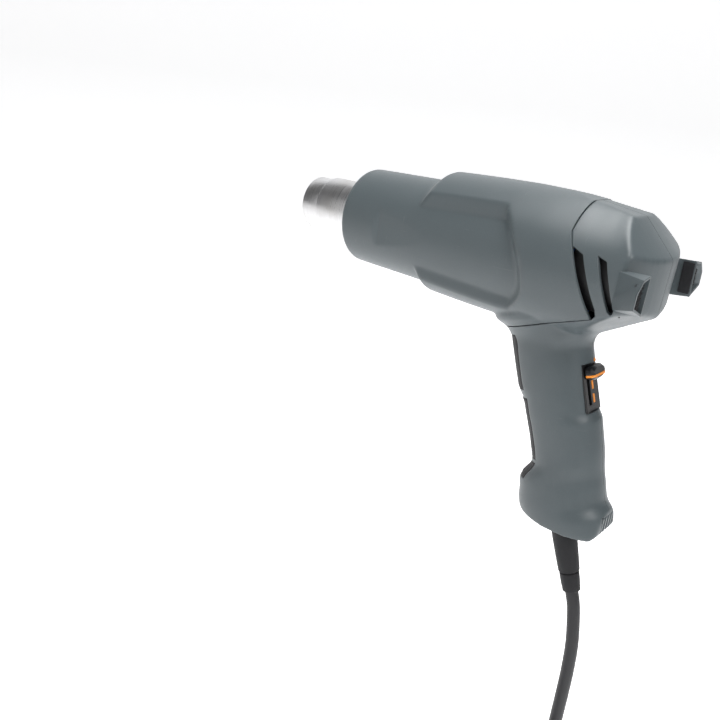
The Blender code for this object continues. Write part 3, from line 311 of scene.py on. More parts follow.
# %% Steel, turned and drawn
def steel(name, colour, rough, rings, across, tint):
    """A bare metal: rings is how many fine lines there are per metre of X, across how many round it."""
    made = bpy.data.materials.new(name)
    made.use_nodes = True
    made.diffuse_color = (*colour, 1.0)
    tree = made.node_tree
    shader = tree.nodes["Principled BSDF"]
    shader.inputs["Metallic"].default_value = 1.0
    where = add(tree, "ShaderNodeTexCoord").outputs["Object"]
    stretched = add(tree, "ShaderNodeMapping", {"Vector": where, "Scale": (rings, across, across)})
    lines = add(tree, "ShaderNodeTexNoise", {"Vector": stretched.outputs[0], "Scale": 1.0, "Detail": 3.0,
                                             "Roughness": 0.7})
    smudge = add(tree, "ShaderNodeTexNoise", {"Vector": where, "Scale": 55.0, "Detail": 3.0})
    share = add(tree, "ShaderNodeMapRange", {"Value": smudge.outputs["Fac"], "From Min": 0.35,
                                             "From Max": 0.75})
    shade = add(tree, "ShaderNodeMix", {"Factor": share.outputs[0], "A": (*colour, 1.0), "B": (*tint, 1.0)},
                data_type="RGBA")
    tree.links.new(shade.outputs["Result"], shader.inputs["Base Color"])
    spread = add(tree, "ShaderNodeMapRange", {"Value": lines.outputs["Fac"], "From Min": 0.3, "From Max": 0.7,
                                             "To Min": rough - 0.05, "To Max": rough + 0.08})
    tree.links.new(spread.outputs[0], shader.inputs["Roughness"])
    relief = add(tree, "ShaderNodeBump", {"Height": lines.outputs["Fac"], "Strength": 0.10,
                                          "Distance": 0.00004})
    tree.links.new(relief.outputs[0], shader.inputs["Normal"])
    return made


turned_steel = steel("turned_steel", (0.72, 0.72, 0.73), 0.30, 3200.0, 30.0, (0.58, 0.57, 0.56))
plated_steel = steel("plated_steel", (0.62, 0.62, 0.63), 0.30, 600.0, 600.0, (0.54, 0.54, 0.55))
heater_wire = steel("heater_wire", (0.36, 0.33, 0.30), 0.42, 900.0, 900.0, (0.22, 0.19, 0.17))
finishes = {
    "grey_housing": housing_grey, "black_rubber": soft_black, "black_plastic": hard_black,
    "orange_plastic": signal_orange, "bright_steel": plated_steel, "ceramic": white_ceramic,
    "mica": mica_brown, "heater_wire": heater_wire, "circuit_board": board_green,
    "lead_insulation": wire_blue,
}
print("finishes:", len(finishes) + 2)

# %% [markdown]
# ## Finishes for the imported parts
# Parts whose shape is already right keep it. Their meshes are loose triangles, so a Weld joins them, a small
# Bevel rounds the edges of the grip, toe and intake pads, the foot and the switch plate, and only then does
# the light run over them as it does over a moulded part.

# %% Give every imported part its finish
KEPT_BEVELS = {"foot_pad": 0.0004, "front_grip_upper": 0.0006, "front_grip_lower": 0.0006, "toe_pad": 0.0006,
               "intake_pad_left": 0.0003, "intake_pad_right": 0.0003, "switch_plate": 0.0002}
for name, node in nodes.items():
    packed_slot = node.data.materials[0].name.split(".")[0]
    finish = finishes.get(packed_slot, hard_black)
    node.data.materials.clear()
    node.data.materials.append(finish)
    weld = node.modifiers.new("weld", "WELD")
    weld.merge_threshold = 0.00001
    if name in KEPT_BEVELS:
        soft = node.modifiers.new("soft_edges", "BEVEL")
        soft.width = KEPT_BEVELS[name]
        soft.segments = 2
        soft.limit_method = "ANGLE"
        soft.angle_limit = math.radians(35)
        soft.use_clamp_overlap = False
nodes["foot_pad"].data.materials[0] = housing_grey
nodes["plug_body"].data.materials[0] = sheath_black
mains_cord.data.materials.append(sheath_black)
print({name: node.data.materials[0].name for name, node in list(nodes.items())[:6]})

# %% [markdown]
# ## The housing's surfaces
# The real housing is three mouldings: a front sleeve and two handle halves. All three share one outer
# surface, which is a slightly tapered barrel, a raised round body over it, a pistol handle and a tail cut
# by gently arched planes. Each of those is a simple shape that a bmesh operator makes: Spin turns the round
# ones, Bridge skins the handle from stretched circles, and Bisect cuts the tail. Booleans then join and
# open them, which keeps every edge where it belongs.

# %% Builders that start from bmesh operators
FAR = 0.2


def link(name, bm, finish, smooth=22):
    """An object from a bmesh in the gun's own measure; its faces point out."""
    bmesh.ops.remove_doubles(bm, verts=bm.verts, dist=1e-6)
    bmesh.ops.recalc_face_normals(bm, faces=bm.faces)
    if bm.calc_volume(signed=True) < 0:
        bmesh.ops.reverse_faces(bm, faces=bm.faces)
    mesh = bpy.data.meshes.new(name)
    bm.to_mesh(mesh)
    bm.free()
    made = bpy.data.objects.new(name, mesh)
    bpy.context.scene.collection.objects.link(made)
    mesh.materials.append(finish)
    mesh.shade_smooth()
    mesh.set_sharp_from_angle(angle=math.radians(smooth))
    return made


def spun(profile, steps=128, rise=0.0):
    """A closed solid of revolution from (x, radius) points, about the barrel's axis raised by rise."""
    bm = bmesh.new()
    points = [bm.verts.new((x, 0.0, radius)) for x, radius in profile]
    edges = [bm.edges.new(pair) for pair in zip(points, points[1:])]
    if all(radius > 0 for _, radius in profile):
        edges.append(bm.edges.new((points[-1], points[0])))
    bmesh.ops.spin(bm, geom=points + edges, axis=(1, 0, 0), cent=(0, 0, 0), angle=2 * math.pi, steps=steps,
                   use_merge=True)
    bmesh.ops.translate(bm, vec=(0, 0, rise), verts=bm.verts)
    return bm


def slab(outline, low, high):
    """An (x, z) outline pushed across the gun from y = low to y = high."""
    bm = bmesh.new()
    face = bm.faces.new([bm.verts.new((x, low, z)) for x, z in outline])
    grown = bmesh.ops.extrude_face_region(bm, geom=[face])["geom"]
    pushed = [vert for vert in grown if isinstance(vert, bmesh.types.BMVert)]
    bmesh.ops.translate(bm, vec=(0, high - low, 0), verts=pushed)
    return bm


def skinned(rings):
    """A closed solid through equal rings, each a list of points."""
    bm = bmesh.new()
    loops = []
    for ring in rings:
        points = [bm.verts.new(point) for point in ring]
        loops.append([bm.edges.new((a, b)) for a, b in zip(points, points[1:] + points[:1])])
    for first, second in zip(loops, loops[1:]):
        bmesh.ops.bridge_loops(bm, edges=first + second)
    for loop in (loops[0], loops[-1]):
        bmesh.ops.contextual_create(bm, geom=loop)
    return bm


def cut_flat(bm, point, normal):
    """Remove what lies beyond a plane, and close the cut."""
    kept = bmesh.ops.bisect_plane(bm, geom=list(bm.verts) + list(bm.edges) + list(bm.faces),
                                  plane_co=point, plane_no=normal, clear_outer=True)
    rim = [item for item in kept["geom_cut"] if isinstance(item, bmesh.types.BMEdge)]
    if rim:
        bmesh.ops.contextual_create(bm, geom=rim)


def between(first, last, low=-FAR, side=FAR):
    """A block over all the gun from x = first to x = last, down to low and out to side."""
    return slab(((first, low), (last, low), (last, FAR), (first, FAR)), -FAR, side)


def mirrored(name, mesh, finish):
    """A new object from a mesh, turned over to the gun's other side."""
    bm = bmesh.new()
    bm.from_mesh(mesh)
    bmesh.ops.scale(bm, vec=(1, -1, 1), verts=bm.verts)
    bmesh.ops.reverse_faces(bm, faces=bm.faces)
    return link(name, bm, finish)


def on_object(base, cutter, operation="DIFFERENCE"):
    """Boolean a bmesh, or an object, into an object."""
    if isinstance(cutter, bmesh.types.BMesh):
        cutter = link("cutter", cutter, housing_grey)
    modifier = base.modifiers.new(operation, "BOOLEAN")
    modifier.operation = operation
    modifier.object = cutter
    modifier.solver = "EXACT"
    graph = bpy.context.evaluated_depsgraph_get()
    base.data = bpy.data.meshes.new_from_object(base.evaluated_get(graph))
    base.modifiers.clear()
    bpy.data.objects.remove(cutter)
    return base


def soft_blend(value, knots):
    """A smooth curve through (position, value) knots."""
    positions = [knot[0] for knot in knots]
    values = [knot[1] for knot in knots]
    if value <= positions[0]:
        return values[0]
    if value >= positions[-1]:
        return values[-1]
    i = max(k for k, position in enumerate(positions) if position <= value)
    part = (value - positions[i]) / (positions[i + 1] - positions[i])
    part = part * part * (3 - 2 * part)
    return values[i] + (values[i + 1] - values[i]) * part


# %% The barrel and the raised body
RISE = 0.0012
BODY = ((0.1060, 0.0359), (0.1200, 0.0366), (0.1360, 0.0373), (0.1580, 0.0379),
        (0.1780, 0.0377), (0.1952, 0.0371), (0.2400, 0.0362))
TAIL = ((0.1200, 0.0360), (0.1500, 0.0372), (0.1960, 0.0365), (0.2040, 0.0357),
        (0.2140, 0.0351), (0.2210, 0.0352), (0.2290, 0.0367), (0.2400, 0.0376))
KNEE_TOP, KNEE_REAR, REAR_LOW, NECK = (0.2196, 0.0334), (0.2377, 0.0146), (0.2366, -0.0162), (0.2040, -0.0350)


BARREL_START, BARREL_LENGTH = 0.0440, 0.1340
BARREL_RADIUS, BARREL_GROWTH = 0.0292, 0.0038


def barrel_radius(x):
    return BARREL_RADIUS + BARREL_GROWTH * (x - BARREL_START) / BARREL_LENGTH


def barrel():
    rim = 0.0030
    profile = [(BARREL_START, 0.0), (BARREL_START, 0.0262)]
    for k in range(1, 7):
        angle = math.pi / 2 * k / 6
        profile.append((BARREL_START + rim * (1 - math.cos(angle)), 0.0262 + rim * math.sin(angle)))
    profile += [(x, barrel_radius(x)) for x in (0.060, 0.085, 0.110, 0.145, 0.178)]
    return spun(profile + [(0.178, 0.0)])


def arched(low, high, radius, spread, steps):
    """Touching planes of a face that arches across the gun: (point, normal), one for each step."""
    low, high = Vector((low[0], 0.0, low[1])), Vector((high[0], 0.0, high[1]))
    along = high - low
    outward = Vector((-along.z, 0.0, along.x)).normalized()
    if outward.dot(low - Vector((0.1952, 0.0, 0.0))) < 0:
        outward = -outward
    planes = []
    for k in range(-steps, steps + 1):
        tilt = math.asin(spread * k / steps / radius)
        normal = outward * math.cos(tilt) + SIDE * math.sin(tilt)
        planes.append(((low + high) / 2 + (normal - outward) * radius, normal))
    return planes


def body(radii, grow=0.0):
    """The raised body with its tail cut by the arched planes."""
    profile = [(0.0990, 0.0), (0.0990, barrel_radius(0.0990) - 0.0008 + grow),
               (0.1045, radii[0][1] - 0.0008 + grow)]
    profile += [(x, radius + grow) for x, radius in radii]
    profile += [(0.2500, radii[-1][1] + grow), (0.2500, 0.0)]
    bm = spun(profile, 128, RISE)
    planes = arched(KNEE_TOP, KNEE_REAR, 0.120, 0.036, 7) + arched(KNEE_REAR, REAR_LOW, 0.061, 0.036, 7)
    planes += arched((0.1952, 0.0369), KNEE_TOP, 0.083, 0.036, 7)[7:8]
    neck, rear_low = Vector((NECK[0], 0.0, NECK[1])), Vector((REAR_LOW[0], 0.0, REAR_LOW[1]))
    for side in (1, -1):
        low_side = Vector((REAR_LOW[0] - 0.0100, side * 0.0345, REAR_LOW[1] + 0.0045))
        planes.append((neck, -(rear_low - neck).cross(low_side - neck).normalized() * side))
    for point, normal in planes:
        if normal.dot(point - Vector((0.200, 0.0, 0.0))) < 0:
            normal = -normal
        cut_flat(bm, point + normal * grow, normal)
    return bm


# %% The handle
FRONT = ((0.060, 0.0233), (0.070, 0.0231), (0.0775, 0.0207), (0.1050, 0.0199),
         (0.1135, 0.0201), (0.1250, 0.0302), (0.1390, 0.0325), (0.1500, 0.0315))
REAR = ((0.050, 0.0224), (0.0868, 0.0210), (0.0910, 0.0226), (0.104, 0.0220),
        (0.127, 0.0200), (0.139, 0.0193), (0.147, 0.0222), (0.160, 0.0228))
WIDTH = ((0.105, 0.0180), (0.150, 0.0218))
BASE_Z = -0.1447
HANDLE_RINGS = (0.027, 0.030, 0.032, 0.034, 0.036, 0.038, 0.040, 0.0425, 0.045, 0.047, 0.0495,
                0.052, 0.056, 0.060, 0.065, 0.070, 0.0725, 0.075, 0.0775, 0.084, 0.0868, 0.0885,
                0.0910, 0.098, 0.104, 0.109, 0.1135, 0.1155, 0.1175, 0.1195, 0.1215, 0.1235,
                0.1250, 0.129, 0.133, 0.136, 0.1390, 0.141, 0.143, 0.145, 0.147, 0.151, 0.155, 0.166)


def fillet(s, start, radius, most):
    rise = min(max(start - s, 0.0), most * radius)
    return radius - math.sqrt(radius * radius - rise * rise)


def handle(grow=0.0, flare=True, start=0.027, end=0.166):
    """The handle, skinned over stretched circles that a rake of 19.5 degrees lays across it."""
    frame_turn = Matrix((SIDE, FORWARD, SIDE.cross(FORWARD))).transposed().to_4x4()
    bm = bmesh.new()
    loops = []
    for s in [start] + [s for s in HANDLE_RINGS if start < s < end] + [end]:
        front = soft_blend(s, FRONT) + grow
        rear = soft_blend(s, REAR) + grow
        width = soft_blend(s, WIDTH) + grow
        if flare:
            width += fillet(s, 0.0490, 0.0280, 0.72)
            rear += fillet(s, 0.0520, 0.0090, 0.98)
            front += fillet(s, 0.0420, 0.0120, 0.92)
        place = Matrix.Translation(on_handle(s, (front - rear) / 2)) @ frame_turn @ Matrix.Diagonal(
            (width, (front + rear) / 2, 1.0, 1.0))
        made = bmesh.ops.create_circle(bm, segments=96, radius=1.0, matrix=place)["verts"]
        loops.append(list({edge for vert in made for edge in vert.link_edges}))
    for first, second in zip(loops, loops[1:]):
        bmesh.ops.bridge_loops(bm, edges=first + second)
    for loop in (loops[0], loops[-1]):
        bmesh.ops.contextual_create(bm, geom=loop)
    bmesh.ops.recalc_face_normals(bm, faces=bm.faces)
    cut_flat(bm, (0.2, 0, BASE_Z - grow), (0, 0, -1))
    return bm


SPLIT_X, SPLIT_BEND_Z = 0.1952, 0.0230
SPLIT_LOW, SPLIT_CHIN = (0.2146, -0.0178), (0.1500, -0.0440)


def behind_split(gap, back):
    """What lies behind the slanted split between the sleeve and the halves, or in front of it."""
    edge = [(SPLIT_X + gap, 0.060)]
    edge += [(x + gap, z - gap) for x, z in ((SPLIT_X, SPLIT_BEND_Z), SPLIT_LOW, SPLIT_CHIN)]
    chin = (edge[3][0] - 0.060, edge[3][1] - 0.025)
    rest = [chin, (0.09, -0.2), (0.30, -0.2), (0.30, 0.060)] if back else [chin, (0.0, chin[1]), (0.0, 0.060)]
    return slab(edge + rest, -FAR, FAR)


# %% [markdown]
# ## The front sleeve
# The sleeve is the raised body joined to the barrel and to the skirt over the handle. Its broad sunken
# window is cut by a skinned block whose rear wall slants, and the two shallow panels sit at the sides of
# the barrel. A block's long edges get a bevel first, because a mould leaves round corners in what it sinks.

# %% Cutters with rounded corners
def rounded_block(rings, radius, segments=5):
    """A skinned block whose edges across the gun are rounded."""
    bm = skinned(rings)
    across = [edge for edge in bm.edges if abs((edge.verts[0].co - edge.verts[1].co).normalized().y) > 0.3]
    bmesh.ops.bevel(bm, geom=across, offset=radius, segments=segments, profile=0.5, affect="EDGES",
                    material=-1)
    return bm


def relaxed(made, voxel, passes):
    """The same solid with even faces, its sharp edges relaxed as a mould's corners are."""
    modifier = made.modifiers.new("even_faces", "REMESH")
    modifier.mode = "VOXEL"
    modifier.voxel_size = voxel
    graph = bpy.context.evaluated_depsgraph_get()
    even = bpy.data.meshes.new_from_object(made.evaluated_get(graph))
    made.modifiers.clear()
    bm = bmesh.new()
    bm.from_mesh(even)
    for _ in range(passes):
        bmesh.ops.smooth_vert(bm, verts=bm.verts, factor=0.5, use_axis_x=True, use_axis_y=True,
                              use_axis_z=True)
    bm.to_mesh(even)
    bm.free()
    even.materials.clear()
    even.materials.append(housing_grey)
    made.data = even
    print(made.name, "relaxed to", len(even.polygons), "faces")
    return made


# %% The front sleeve
SLEEVE_END, SKIRT_LOW = 0.232, -0.075
WINDOW_FLOOR_Y, WINDOW_OUT_Y, WINDOW_CORNER = 0.0258, 0.0420, 0.0045
PANEL_START, PANEL_END, PANEL_DEPTH = 0.0715, 0.1095, 0.0022
PANEL_LOW, PANEL_TOP = -0.0155, 0.0125
sleeve = link("front_sleeve", body(BODY), housing_grey)
on_object(sleeve, between(0.0, SLEEVE_END), "INTERSECT")
for side in (-1, 1):
    near = ((0.060, -0.045), (0.060, 0.045), (0.1560, 0.045),
            (0.1560, 0.0180), (0.1660, -0.0110), (0.1655, -0.045))
    far = ((0.060, -0.060), (0.060, 0.060), (0.1560, 0.060),
           (0.1720, 0.0200), (0.1860, -0.0190), (0.1790, -0.060))
    rings = [[Vector((x, side * WINDOW_FLOOR_Y, z)) for x, z in near],
             [Vector((x, side * WINDOW_OUT_Y, z)) for x, z in far]]
    on_object(sleeve, rounded_block(rings, WINDOW_CORNER))
on_object(sleeve, handle(), "UNION")
on_object(sleeve, barrel(), "UNION")
on_object(sleeve, between(0.0, 0.3, SKIRT_LOW), "INTERSECT")
for side in (-1, 1):
    front = side * (barrel_radius(PANEL_START) - PANEL_DEPTH)
    back = side * (barrel_radius(PANEL_END) + 0.0002)
    rings = []
    for x, y in ((PANEL_START, front), (PANEL_END, back)):
        wide = side * 0.045
        rings.append([Vector((x, reach, z)) for reach, z in (
            (y, PANEL_LOW), (y, PANEL_TOP), (wide, PANEL_TOP), (wide, PANEL_LOW))])
    on_object(sleeve, skinned(rings))
relaxed(sleeve, 0.0010, 2)
on_object(sleeve, behind_split(-0.0002, True))
hollow = [(0.0464, 0.0), (0.0464, 0.0266), (0.1810, 0.0298), (0.1810, 0.0)]
on_object(sleeve, spun(hollow, 96))
on_object(sleeve, spun([(0.1770, 0.0), (0.1770, 0.0350), (0.2398, 0.0350), (0.2398, 0.0)], 96, RISE))
on_object(sleeve, spun([(0.030, 0.0), (0.030, 0.0231), (0.060, 0.0231), (0.060, 0.0)], 96))
print("front sleeve faces:", len(sleeve.data.polygons))

# %% [markdown]
# ## The handle halves
# The left half is made once and mirrored, as the real halves are near copies. It holds the tail, the intake
# scoops with their ducts, the two slanted slots, the switch opening, the pockets of the rubber pads and the
# foot.

# %% Scoops
REAR_X = 0.2398
FACE = ((0.0330, 0.0110), (0.0415, 0.0098), (0.0472, 0.0036), (0.0476, -0.0038), (0.0345, -0.0087))
ROOT = ((0.0325, 0.0104), (0.0346, 0.0100), (0.0356, -0.0033), (0.0342, -0.0092), (0.0326, -0.0100))
ROOT_X = 0.2250


def scoop_ring(x, corners, grow):
    middle = Vector((0.0, sum(y for y, _ in corners) / 5, sum(z for _, z in corners) / 5))
    ring = []
    for y, z in corners:
        away = Vector((0.0, y, z)) - middle
        point = middle + away * (1 + grow / away.length)
        ring.append(Vector((x, -point.y, point.z)))
    return ring


def scoop_corners(x):
    part = min(max((x - ROOT_X) / (REAR_X - ROOT_X), 0.0), 1.0)
    return [(a + (c - a) * part, b + (d - b) * part) for (a, b), (c, d) in zip(ROOT, FACE)]


# %% The left half
WALL, HANDLE_WALL = 0.0024, 0.0035
SEAM = 0.00015
SLOTS = (((0.1945, 0.0158), (0.1996, 0.0158), (0.2049, 0.0134), (0.2090, 0.0046),
          (0.2162, -0.0120), (0.2165, -0.0155), (0.2147, -0.0176), (0.2090, -0.0176)),
         ((0.2123, 0.0143), (0.2174, 0.0126), (0.2217, 0.0021), (0.2260, -0.0094),
          (0.2256, -0.0118), (0.2242, -0.0125), (0.2226, -0.0110), (0.2153, 0.0065)))
left = link("left_half", body(TAIL), housing_grey)
on_object(left, between(0.19, 0.4), "INTERSECT")
on_object(left, handle(), "UNION")
heel = ((0.2338, BASE_Z), (0.2368, -0.1412), (0.2368, -0.100), (0.4, -0.100), (0.4, -0.2), (0.2338, -0.2))
on_object(left, slab(heel, -FAR, FAR))
relaxed(left, 0.00115, 4)
on_object(left, between(0.0, 0.4, side=-SEAM), "INTERSECT")
on_object(left, skinned([scoop_ring(ROOT_X, ROOT, 0.0), scoop_ring(REAR_X, FACE, 0.0)]), "UNION")
on_object(left, behind_split(0.0002, True), "INTERSECT")
hollow = link("hollow", body(TAIL, -WALL), housing_grey)
on_object(hollow, between(0.15, 0.4), "INTERSECT")
on_object(hollow, handle(-HANDLE_WALL, False, 0.030, 0.149), "UNION")
on_object(left, hollow)
for outline in SLOTS:
    on_object(left, slab(outline, -0.060, -0.020))
duct = [scoop_ring(x, scoop_corners(x), -inset)
        for x, inset in ((REAR_X - 0.0045, 0.0028), (REAR_X + 0.0007, 0.0011))]
on_object(left, skinned(duct))
print("left half faces:", len(left.data.polygons))


# %% Openings in the handle
def handle_box(low, high):
    """A block in the handle's own lines: (s, y, reach back) corners."""
    place = Matrix((DOWN, SIDE, -FORWARD)).transposed().to_4x4()
    place.translation = on_handle(0, 0)
    bm = bmesh.new()
    bmesh.ops.create_cube(bm, size=1.0)
    bmesh.ops.scale(bm, vec=[b - a for a, b in zip(low, high)], verts=bm.verts)
    bmesh.ops.translate(bm, vec=[(a + b) / 2 for a, b in zip(low, high)], verts=bm.verts)
    bmesh.ops.transform(bm, matrix=place, verts=bm.verts)
    bmesh.ops.recalc_face_normals(bm, faces=bm.faces)
    return bm


SWITCH_SPAN, SWITCH_HALF_WIDTH = (0.0595, 0.0868), 0.0086
PAD_SPANS = ((0.0400, 0.0715), (0.0765, 0.1125), (0.1142, 0.1240))
PAD_HALF_WIDTH, PAD_DEPTH = 0.0140, 0.0019
FOOT = ((0.2468, -0.1310), (0.2348, -0.1310), (0.2348, -0.1412), (0.2318, -0.1435), (0.2446, -0.1435),
        (0.2468, -0.1412))
FOOT_HALF_WIDTH = 0.0078
RELIEF_T, RELIEF_WAY = 0.0080, 0.0076
on_object(left, handle_box((SWITCH_SPAN[0], -SWITCH_HALF_WIDTH, 0.0100),
                           (SWITCH_SPAN[1], SWITCH_HALF_WIDTH, 0.040)))
for low, high in PAD_SPANS:
    pocket = link("pocket", handle_box((low, -PAD_HALF_WIDTH, -0.060), (high, PAD_HALF_WIDTH, -0.008)),
                  housing_grey)
    on_object(pocket, handle(-PAD_DEPTH, False))
    on_object(left, pocket)
on_object(left, slab(FOOT, -FOOT_HALF_WIDTH, FOOT_HALF_WIDTH))
relief_way = spun([(0.1430, 0.0), (0.1430, RELIEF_WAY), (0.1960, RELIEF_WAY), (0.1960, 0.0)], 48)
relief_turn = Matrix((DOWN, FORWARD, DOWN.cross(FORWARD))).transposed().to_4x4()
relief_turn.translation = on_handle(0, RELIEF_T)
bmesh.ops.transform(relief_way, matrix=relief_turn, verts=relief_way.verts)
on_object(left, relief_way)
print("left half faces:", len(left.data.polygons))


# %% Mirror it, and put the housing in the frame
def into_frame(made, body_name, *replaced):
    """Move a mesh from the gun's measure into the frame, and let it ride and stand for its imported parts."""
    made.data.transform(Matrix.Translation(TIP))
    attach(made, body_name)
    if replaced:
        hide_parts(*replaced)
    return made


def sharpened(made, angle=24):
    made.data.shade_smooth()
    made.data.set_sharp_from_angle(angle=math.radians(angle))
    return made


right = mirrored("right_half", left.data, housing_grey)
for made, replaced in ((sleeve, "barrel_housing"), (left, "left_shell"), (right, "right_shell")):
    sharpened(into_frame(made, "housing", replaced))
print("housing pieces:", [made.name for made in (sleeve, left, right)])

# %% [markdown]
# ## The hot end
# The nozzle is one drawn steel tube. Its mouth is a narrower neck for push-on nozzles, and all its edges
# are rolled. A Spin about the barrel's axis makes it from its outline, with an arc of points wherever an
# edge is rolled.

# %% The nozzle tube
def arc(x, radius, size, first, last, steps=5):
    """Points of a small rolled edge: a quarter circle about (x, radius)."""
    angles = [math.radians(first + (last - first) * k / steps) for k in range(steps + 1)]
    return [(x + size * math.cos(angle), radius + size * math.sin(angle)) for angle in angles]


outline = arc(0.0004, 0.0166, 0.0004, 270, 90) + [(0.0120, 0.0170)]
outline += arc(0.0126, 0.0176, 0.0006, 270, 360) + arc(0.0140, 0.0179, 0.0008, 180, 90)
outline += [(0.0300, 0.0187), (0.1300, 0.0187), (0.1300, 0.0179), (0.0150, 0.0179)]
outline += [(0.0136, 0.0172), (0.0120, 0.0162)]
nozzle = link("nozzle", spun(outline, 160), turned_steel, 35)
sharpened(into_frame(nozzle, "housing", "nozzle_tube"), 40)

# %% [markdown]
# ## Behind the openings
# A curved black plate stands behind the slots on each side as painted shade, where the inside of the housing
# would lie in shadow, so the slots look black. The scoops have a lattice near their mouths. It starts as a
# plain grid: Wireframe turns its edges into bars, and an Intersect with the scoop's own outline trims it.

# %% Painted-shade plates behind the slots
SHADE_PLATE_SECTION = ((0.1985, 0.0316), (0.1985, 0.0323), (0.2275, 0.0312), (0.2275, 0.0305))
for side, name in ((-1, "slot_shade_plate_left"), (1, "slot_shade_plate_right")):
    shade_plate = bmesh.new()
    section = [shade_plate.verts.new((x, 0.0, radius)) for x, radius in SHADE_PLATE_SECTION]
    lines = [shade_plate.edges.new((a, b)) for a, b in zip(section, section[1:] + section[:1])]
    face = bmesh.ops.contextual_create(shade_plate, geom=lines)["faces"]
    bmesh.ops.spin(shade_plate, geom=face, axis=(1, 0, 0), cent=(0, 0, 0), angle=math.radians(58), steps=24)
    to_side = Matrix.Rotation(math.radians(61 if side < 0 else -119), 3, "X")
    bmesh.ops.rotate(shade_plate, cent=(0, 0, 0), matrix=to_side, verts=shade_plate.verts)
    bmesh.ops.translate(shade_plate, vec=(0, 0, RISE), verts=shade_plate.verts)
    # The black of this plate is painted shade: it stands where the inside of the housing lies in shadow.
    made = link(name, shade_plate, hard_black)
    sharpened(into_frame(made, "housing"))
    print(name, "spans", [round(c * 1000, 1) for c in made.bound_box[0]])

# %% Scoop lattices
for side, name, packed in ((-1, "scoop_lattice_left", "intake_grille_left"),
                           (1, "scoop_lattice_right", "intake_grille_right")):
    grid = bmesh.new()
    bmesh.ops.create_grid(grid, x_segments=9, y_segments=14, size=0.5)
    bmesh.ops.scale(grid, vec=(0.022, 0.030, 1.0), verts=grid.verts)
    bmesh.ops.rotate(grid, cent=(0, 0, 0), matrix=Matrix.Rotation(math.radians(90), 3, "Y"), verts=grid.verts)
    bmesh.ops.wireframe(grid, faces=grid.faces[:], thickness=0.0007, use_replace=True, use_even_offset=True)
    bmesh.ops.translate(grid, vec=(REAR_X - 0.0020, -0.0405, 0.001), verts=grid.verts)
    lattice = link(name, grid, hard_black)
    on_object(lattice,
              skinned([scoop_ring(x, scoop_corners(x), -0.0019) for x in (REAR_X - 0.0040, REAR_X - 0.0006)]),
              "INTERSECT")
    if side > 0:
        made_left = lattice.data
        bpy.data.objects.remove(lattice)
        lattice = mirrored(name, made_left, hard_black)
    lattice.data.materials.clear()
    lattice.data.materials.append(hard_black)
    sharpened(into_frame(lattice, "housing", packed), 30)
    print(name, "faces", len(lattice.data.polygons))

# %% [markdown]
# ## The strain relief
# A tapered rubber sleeve guards the cord where it leaves the handle. It has a flange inside the base, a
# long taper, and a smaller end ring. It is spun from its outline and then laid along the handle's own line.

# %% The strain relief
outline = [(0.1395, 0.0042), (0.1395, 0.0092), (0.1421, 0.0092), (0.1421, 0.0073),
           (0.1500, 0.0073), (0.1640, 0.0071), (0.1740, 0.0067), (0.1828, 0.0062)]
outline += arc(0.1828, 0.0058, 0.0004, 90, 0) + [(0.1834, 0.0052)] + arc(0.1846, 0.0053, 0.0005, 180, 90)
outline += [(0.1900, 0.0056), (0.1952, 0.0052)] + arc(0.1952, 0.0047, 0.0005, 90, 0) + [(0.1957, 0.0042)]
relief = spun(outline, 64)
bmesh.ops.transform(relief, matrix=relief_turn, verts=relief.verts)
cord_relief = link("cord_relief", relief, soft_black, 40)
sharpened(into_frame(cord_relief, "housing", "strain_relief"), 40)

# %% [markdown]
# ## The floor and the light
# The backdrop is one pale sheet that runs up behind the gun, as a photographer's paper roll does. It glows
# a little, so that it stays white. A wide soft light overhead draws the bright line along the barrel, a
# second from the tail side lights the cheeks, and a weak one fills the shaded flank.

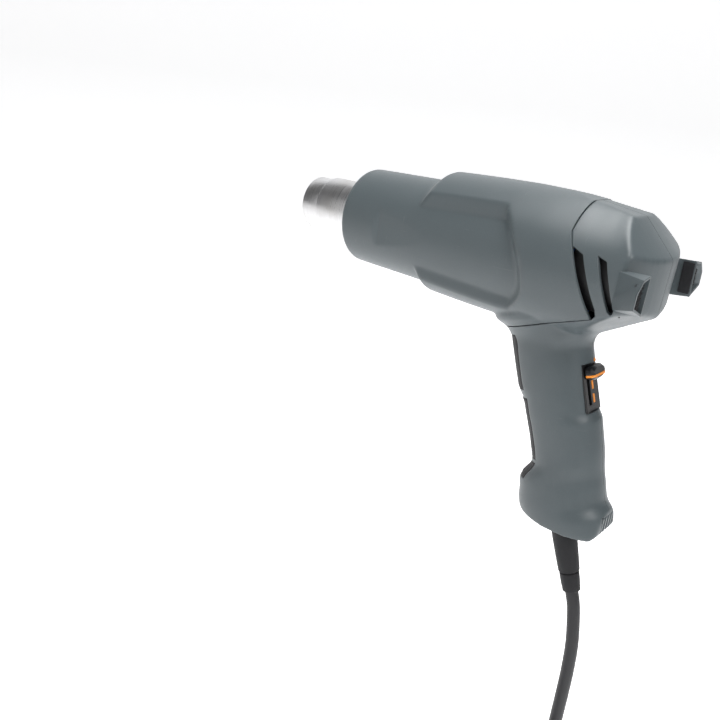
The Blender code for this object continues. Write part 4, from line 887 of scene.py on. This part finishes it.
# %% A pale paper sweep
paper = bmesh.new()
sweep = [paper.verts.new((-6.0, -6.0, 0.0)), paper.verts.new((6.0, -6.0, 0.0))]
edge = paper.edges.new(sweep)
edges = [edge]
for forward, up in ((8.6, 0.0), (1.2, 0.35), (0.6, 1.0), (0.2, 4.0)):
    grown = bmesh.ops.extrude_edge_only(paper, edges=edges)["geom"]
    edges = [item for item in grown if isinstance(item, bmesh.types.BMEdge)]
    moved = [item for item in grown if isinstance(item, bmesh.types.BMVert)]
    bmesh.ops.translate(paper, vec=(0, forward, up), verts=moved)
bmesh.ops.rotate(paper, cent=(0, 0, 0), matrix=Matrix.Rotation(math.radians(38), 3, "Z"), verts=paper.verts)
bmesh.ops.translate(paper, vec=(0, 0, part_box("cord_coil")[0].z - 0.0004), verts=paper.verts)
bmesh.ops.recalc_face_normals(paper, faces=paper.faces)
mesh = bpy.data.meshes.new("paper_sweep")
paper.to_mesh(mesh)
paper.free()
mesh.shade_smooth()
paper_sweep = bpy.data.objects.new("paper_sweep", mesh)
bpy.context.scene.collection.objects.link(paper_sweep)
pale = bpy.data.materials.new("pale_paper")
pale.use_nodes = True
paper_shader = pale.node_tree.nodes["Principled BSDF"]
paper_shader.inputs["Base Color"].default_value = (0.90, 0.90, 0.91, 1.0)
paper_shader.inputs["Roughness"].default_value = 0.9
paper_shader.inputs["Specular IOR Level"].default_value = 0.1
paper_shader.inputs["Emission Color"].default_value = (1.0, 1.0, 1.0, 1.0)
paper_shader.inputs["Emission Strength"].default_value = 0.70
mesh.materials.append(pale)


# %% Soft studio lights
def softbox(name, place, aim, size, power, tint=(1.0, 1.0, 1.0)):
    light = bpy.data.lights.new(name, "AREA")
    light.shape = "RECTANGLE"
    light.size, light.size_y = size
    light.energy = power
    light.color = tint
    made = bpy.data.objects.new(name, light)
    bpy.context.scene.collection.objects.link(made)
    made.location = place
    made.rotation_euler = (Vector(aim) - Vector(place)).to_track_quat("-Z", "Y").to_euler()
    return made


softbox("overhead", (-0.10, 0.00, 1.10), (0.0, 0.0, 0.05), (1.3, 0.40), 17.0)
softbox("tail_side", (0.95, -0.45, 0.85), (0.0, 0.0, 0.05), (0.5, 0.5), 9.0)
softbox("flank_fill", (-0.80, -1.10, 0.45), (0.0, 0.0, 0.05), (0.5, 0.9), 1.2)
world = bpy.data.worlds.new("studio")
world.use_nodes = True
world.node_tree.nodes["Background"].inputs["Color"].default_value = (0.97, 0.98, 1.0, 1.0)
world.node_tree.nodes["Background"].inputs["Strength"].default_value = 0.10
bpy.context.scene.world = world
bpy.context.scene.view_settings.view_transform = "Standard"
